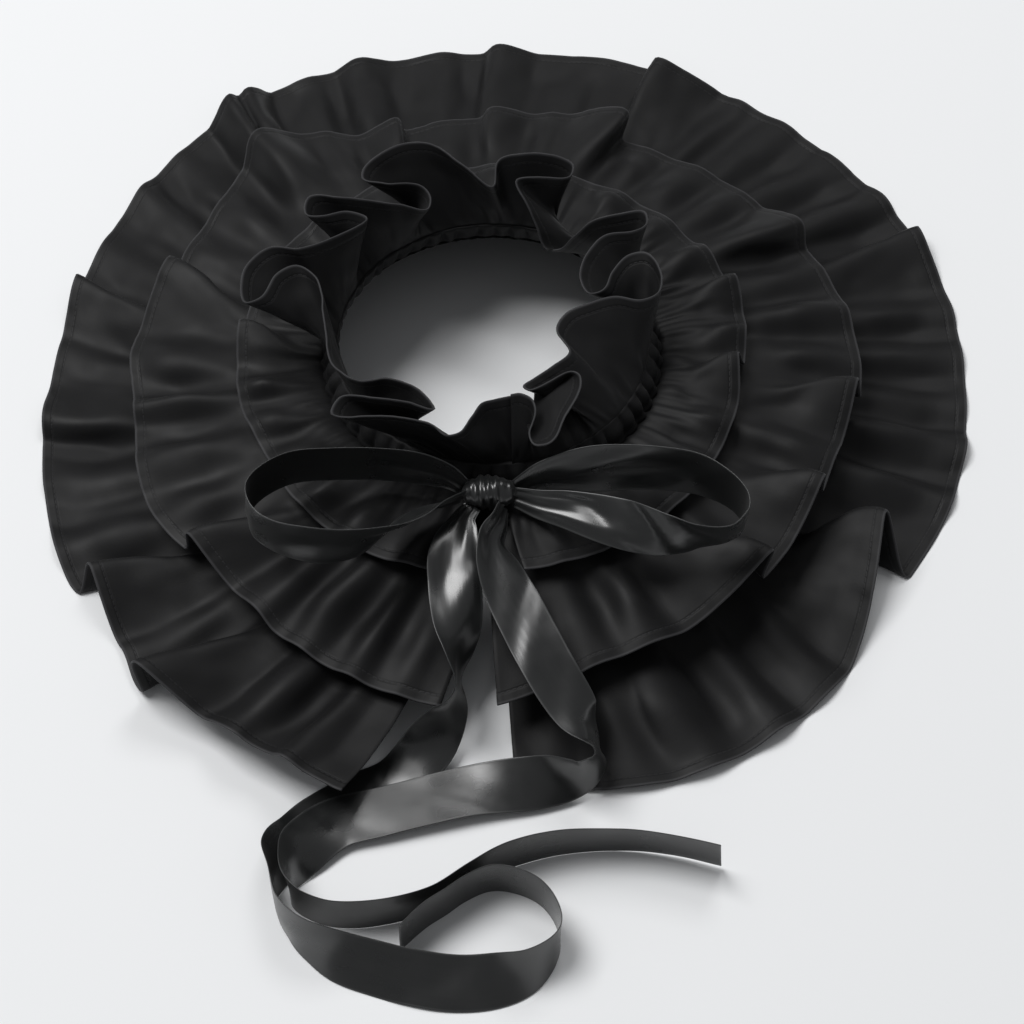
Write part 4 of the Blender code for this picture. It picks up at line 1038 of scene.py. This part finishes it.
class COLLAR_OT_bow(bpy.types.Operator):
    """Make the bow: its knot and its two loops"""

    bl_idname = "collar.bow"
    bl_label = "Make bow"

    def execute(self, context):
        sizes = context.scene.collar_sizes
        satin = black_satin(context.scene.collar_colours)
        knot = dress(knot_piece("ribbon_knot", satin), "bow_knot")
        left = dress(ribbon_piece("ribbon_loop_left", LEFT_LOOP, LEFT_LOOP_WRINKLES, 1, satin, sizes),
                     "bow_loop_left")
        right = dress(ribbon_piece("ribbon_loop_right", RIGHT_LOOP, RIGHT_LOOP_WRINKLES, 2, satin, sizes),
                      "bow_loop_right")
        return {"FINISHED"}


class COLLAR_OT_tails(bpy.types.Operator):
    """Make the bow's two tails, which trail over the floor"""

    bl_idname = "collar.tails"
    bl_label = "Make tails"

    def execute(self, context):
        sizes = context.scene.collar_sizes
        satin = black_satin(context.scene.collar_colours)
        left = dress(ribbon_piece("ribbon_tail_left", LEFT_TAIL, LEFT_TAIL_WRINKLES, 3, satin, sizes),
                     "tail_left")
        right = dress(ribbon_piece("ribbon_tail_right", RIGHT_TAIL, RIGHT_TAIL_WRINKLES, 4, satin, sizes),
                      "tail_right")
        return {"FINISHED"}


def soft_light(name, place, aim, size, power):
    """A square soft light that looks at a point."""
    light = bpy.data.lights.new(name, "AREA")
    light.shape = "SQUARE"
    light.size = size
    light.energy = power
    lamp = bpy.data.objects.new(name, light)
    lamp.location = place
    lamp.rotation_euler = (Vector(aim) - Vector(place)).to_track_quat("-Z", "Y").to_euler()
    bpy.context.scene.collection.objects.link(lamp)


class COLLAR_OT_stage(bpy.types.Operator):
    """Make the pale floor, the soft lights and the camera"""

    bl_idname = "collar.stage"
    bl_label = "Make stage"

    def execute(self, context):
        bpy.ops.object.select_all(action="DESELECT")
        bpy.ops.mesh.primitive_plane_add(size=9.0, location=(0.0, 0.0, 0.0))
        floor = context.object
        floor.name = "floor"
        material = bpy.data.materials.new("pale floor")
        material.use_nodes = True
        shader = material.node_tree.nodes["Principled BSDF"]
        shader.inputs["Base Color"].default_value = (*context.scene.collar_colours.floor, 1.0)
        shader.inputs["Roughness"].default_value = 0.75
        shader.inputs["Specular IOR Level"].default_value = 0.2
        floor.data.materials.append(material)

        world = bpy.data.worlds.new("soft room")
        world.use_nodes = True
        context.scene.world = world
        background = world.node_tree.nodes["Background"]
        background.inputs["Color"].default_value = (0.97, 0.98, 1.0, 1.0)
        background.inputs["Strength"].default_value = 0.21

        aim = (0.0, 0.0, 0.03)
        soft_light("key light", (-1.9, 0.9, 4.0), aim, 2.2, 150.0)
        soft_light("back light", (0.6, 2.3, 3.1), aim, 1.4, 27.0)
        context.scene.view_settings.view_transform = "Standard"

        camera = bpy.data.cameras.new("camera")
        camera.lens = CAMERA_LENS
        camera.sensor_width = CAMERA_SENSOR
        view = bpy.data.objects.new("camera", camera)
        target = Vector((NECK_X + CAMERA_AIM[0], NECK_Y + CAMERA_AIM[1], 0.0)) * MM
        height = math.radians(CAMERA_ELEVATION)
        away = Vector((0.0, -math.cos(height), math.sin(height))) * CAMERA_DISTANCE
        view.location = target + away
        view.rotation_euler = (-away).to_track_quat("-Z", "Y").to_euler()
        context.scene.collection.objects.link(view)
        context.scene.camera = view
        return {"FINISHED"}


class COLLAR_PT_panel(bpy.types.Panel):
    """Panel that lists the collar's pieces, sizes and colours"""

    bl_idname = "COLLAR_PT_panel"
    bl_label = "Flounced collar"
    bl_space_type = "VIEW_3D"
    bl_region_type = "UI"
    bl_category = "Collar"

    def draw(self, context):
        column = self.layout.column()
        for operator in OPERATORS:
            column.operator(operator.bl_idname)
        for group in (context.scene.collar_sizes, context.scene.collar_colours):
            for key in group.__annotations__:
                column.prop(group, key)


OPERATORS = (COLLAR_OT_casing, COLLAR_OT_tiers, COLLAR_OT_ruffle, COLLAR_OT_bow, COLLAR_OT_tails,
             COLLAR_OT_stage)
CLASSES = (ClothSizes, CollarColours) + OPERATORS + (COLLAR_PT_panel,)


def register():
    for item in CLASSES:
        bpy.utils.register_class(item)
    bpy.types.Scene.collar_sizes = bpy.props.PointerProperty(type=ClothSizes)
    bpy.types.Scene.collar_colours = bpy.props.PointerProperty(type=CollarColours)


def unregister():
    del bpy.types.Scene.collar_colours
    del bpy.types.Scene.collar_sizes
    for item in reversed(CLASSES):
        bpy.utils.unregister_class(item)


def main():
    """Make every piece and the stage."""
    register()
    bpy.ops.collar.casing()
    bpy.ops.collar.tiers()
    bpy.ops.collar.ruffle()
    bpy.ops.collar.bow()
    bpy.ops.collar.tails()
    bpy.ops.collar.stage()
    bpy.context.view_layer.update()


if __name__ == "__main__":
    main()
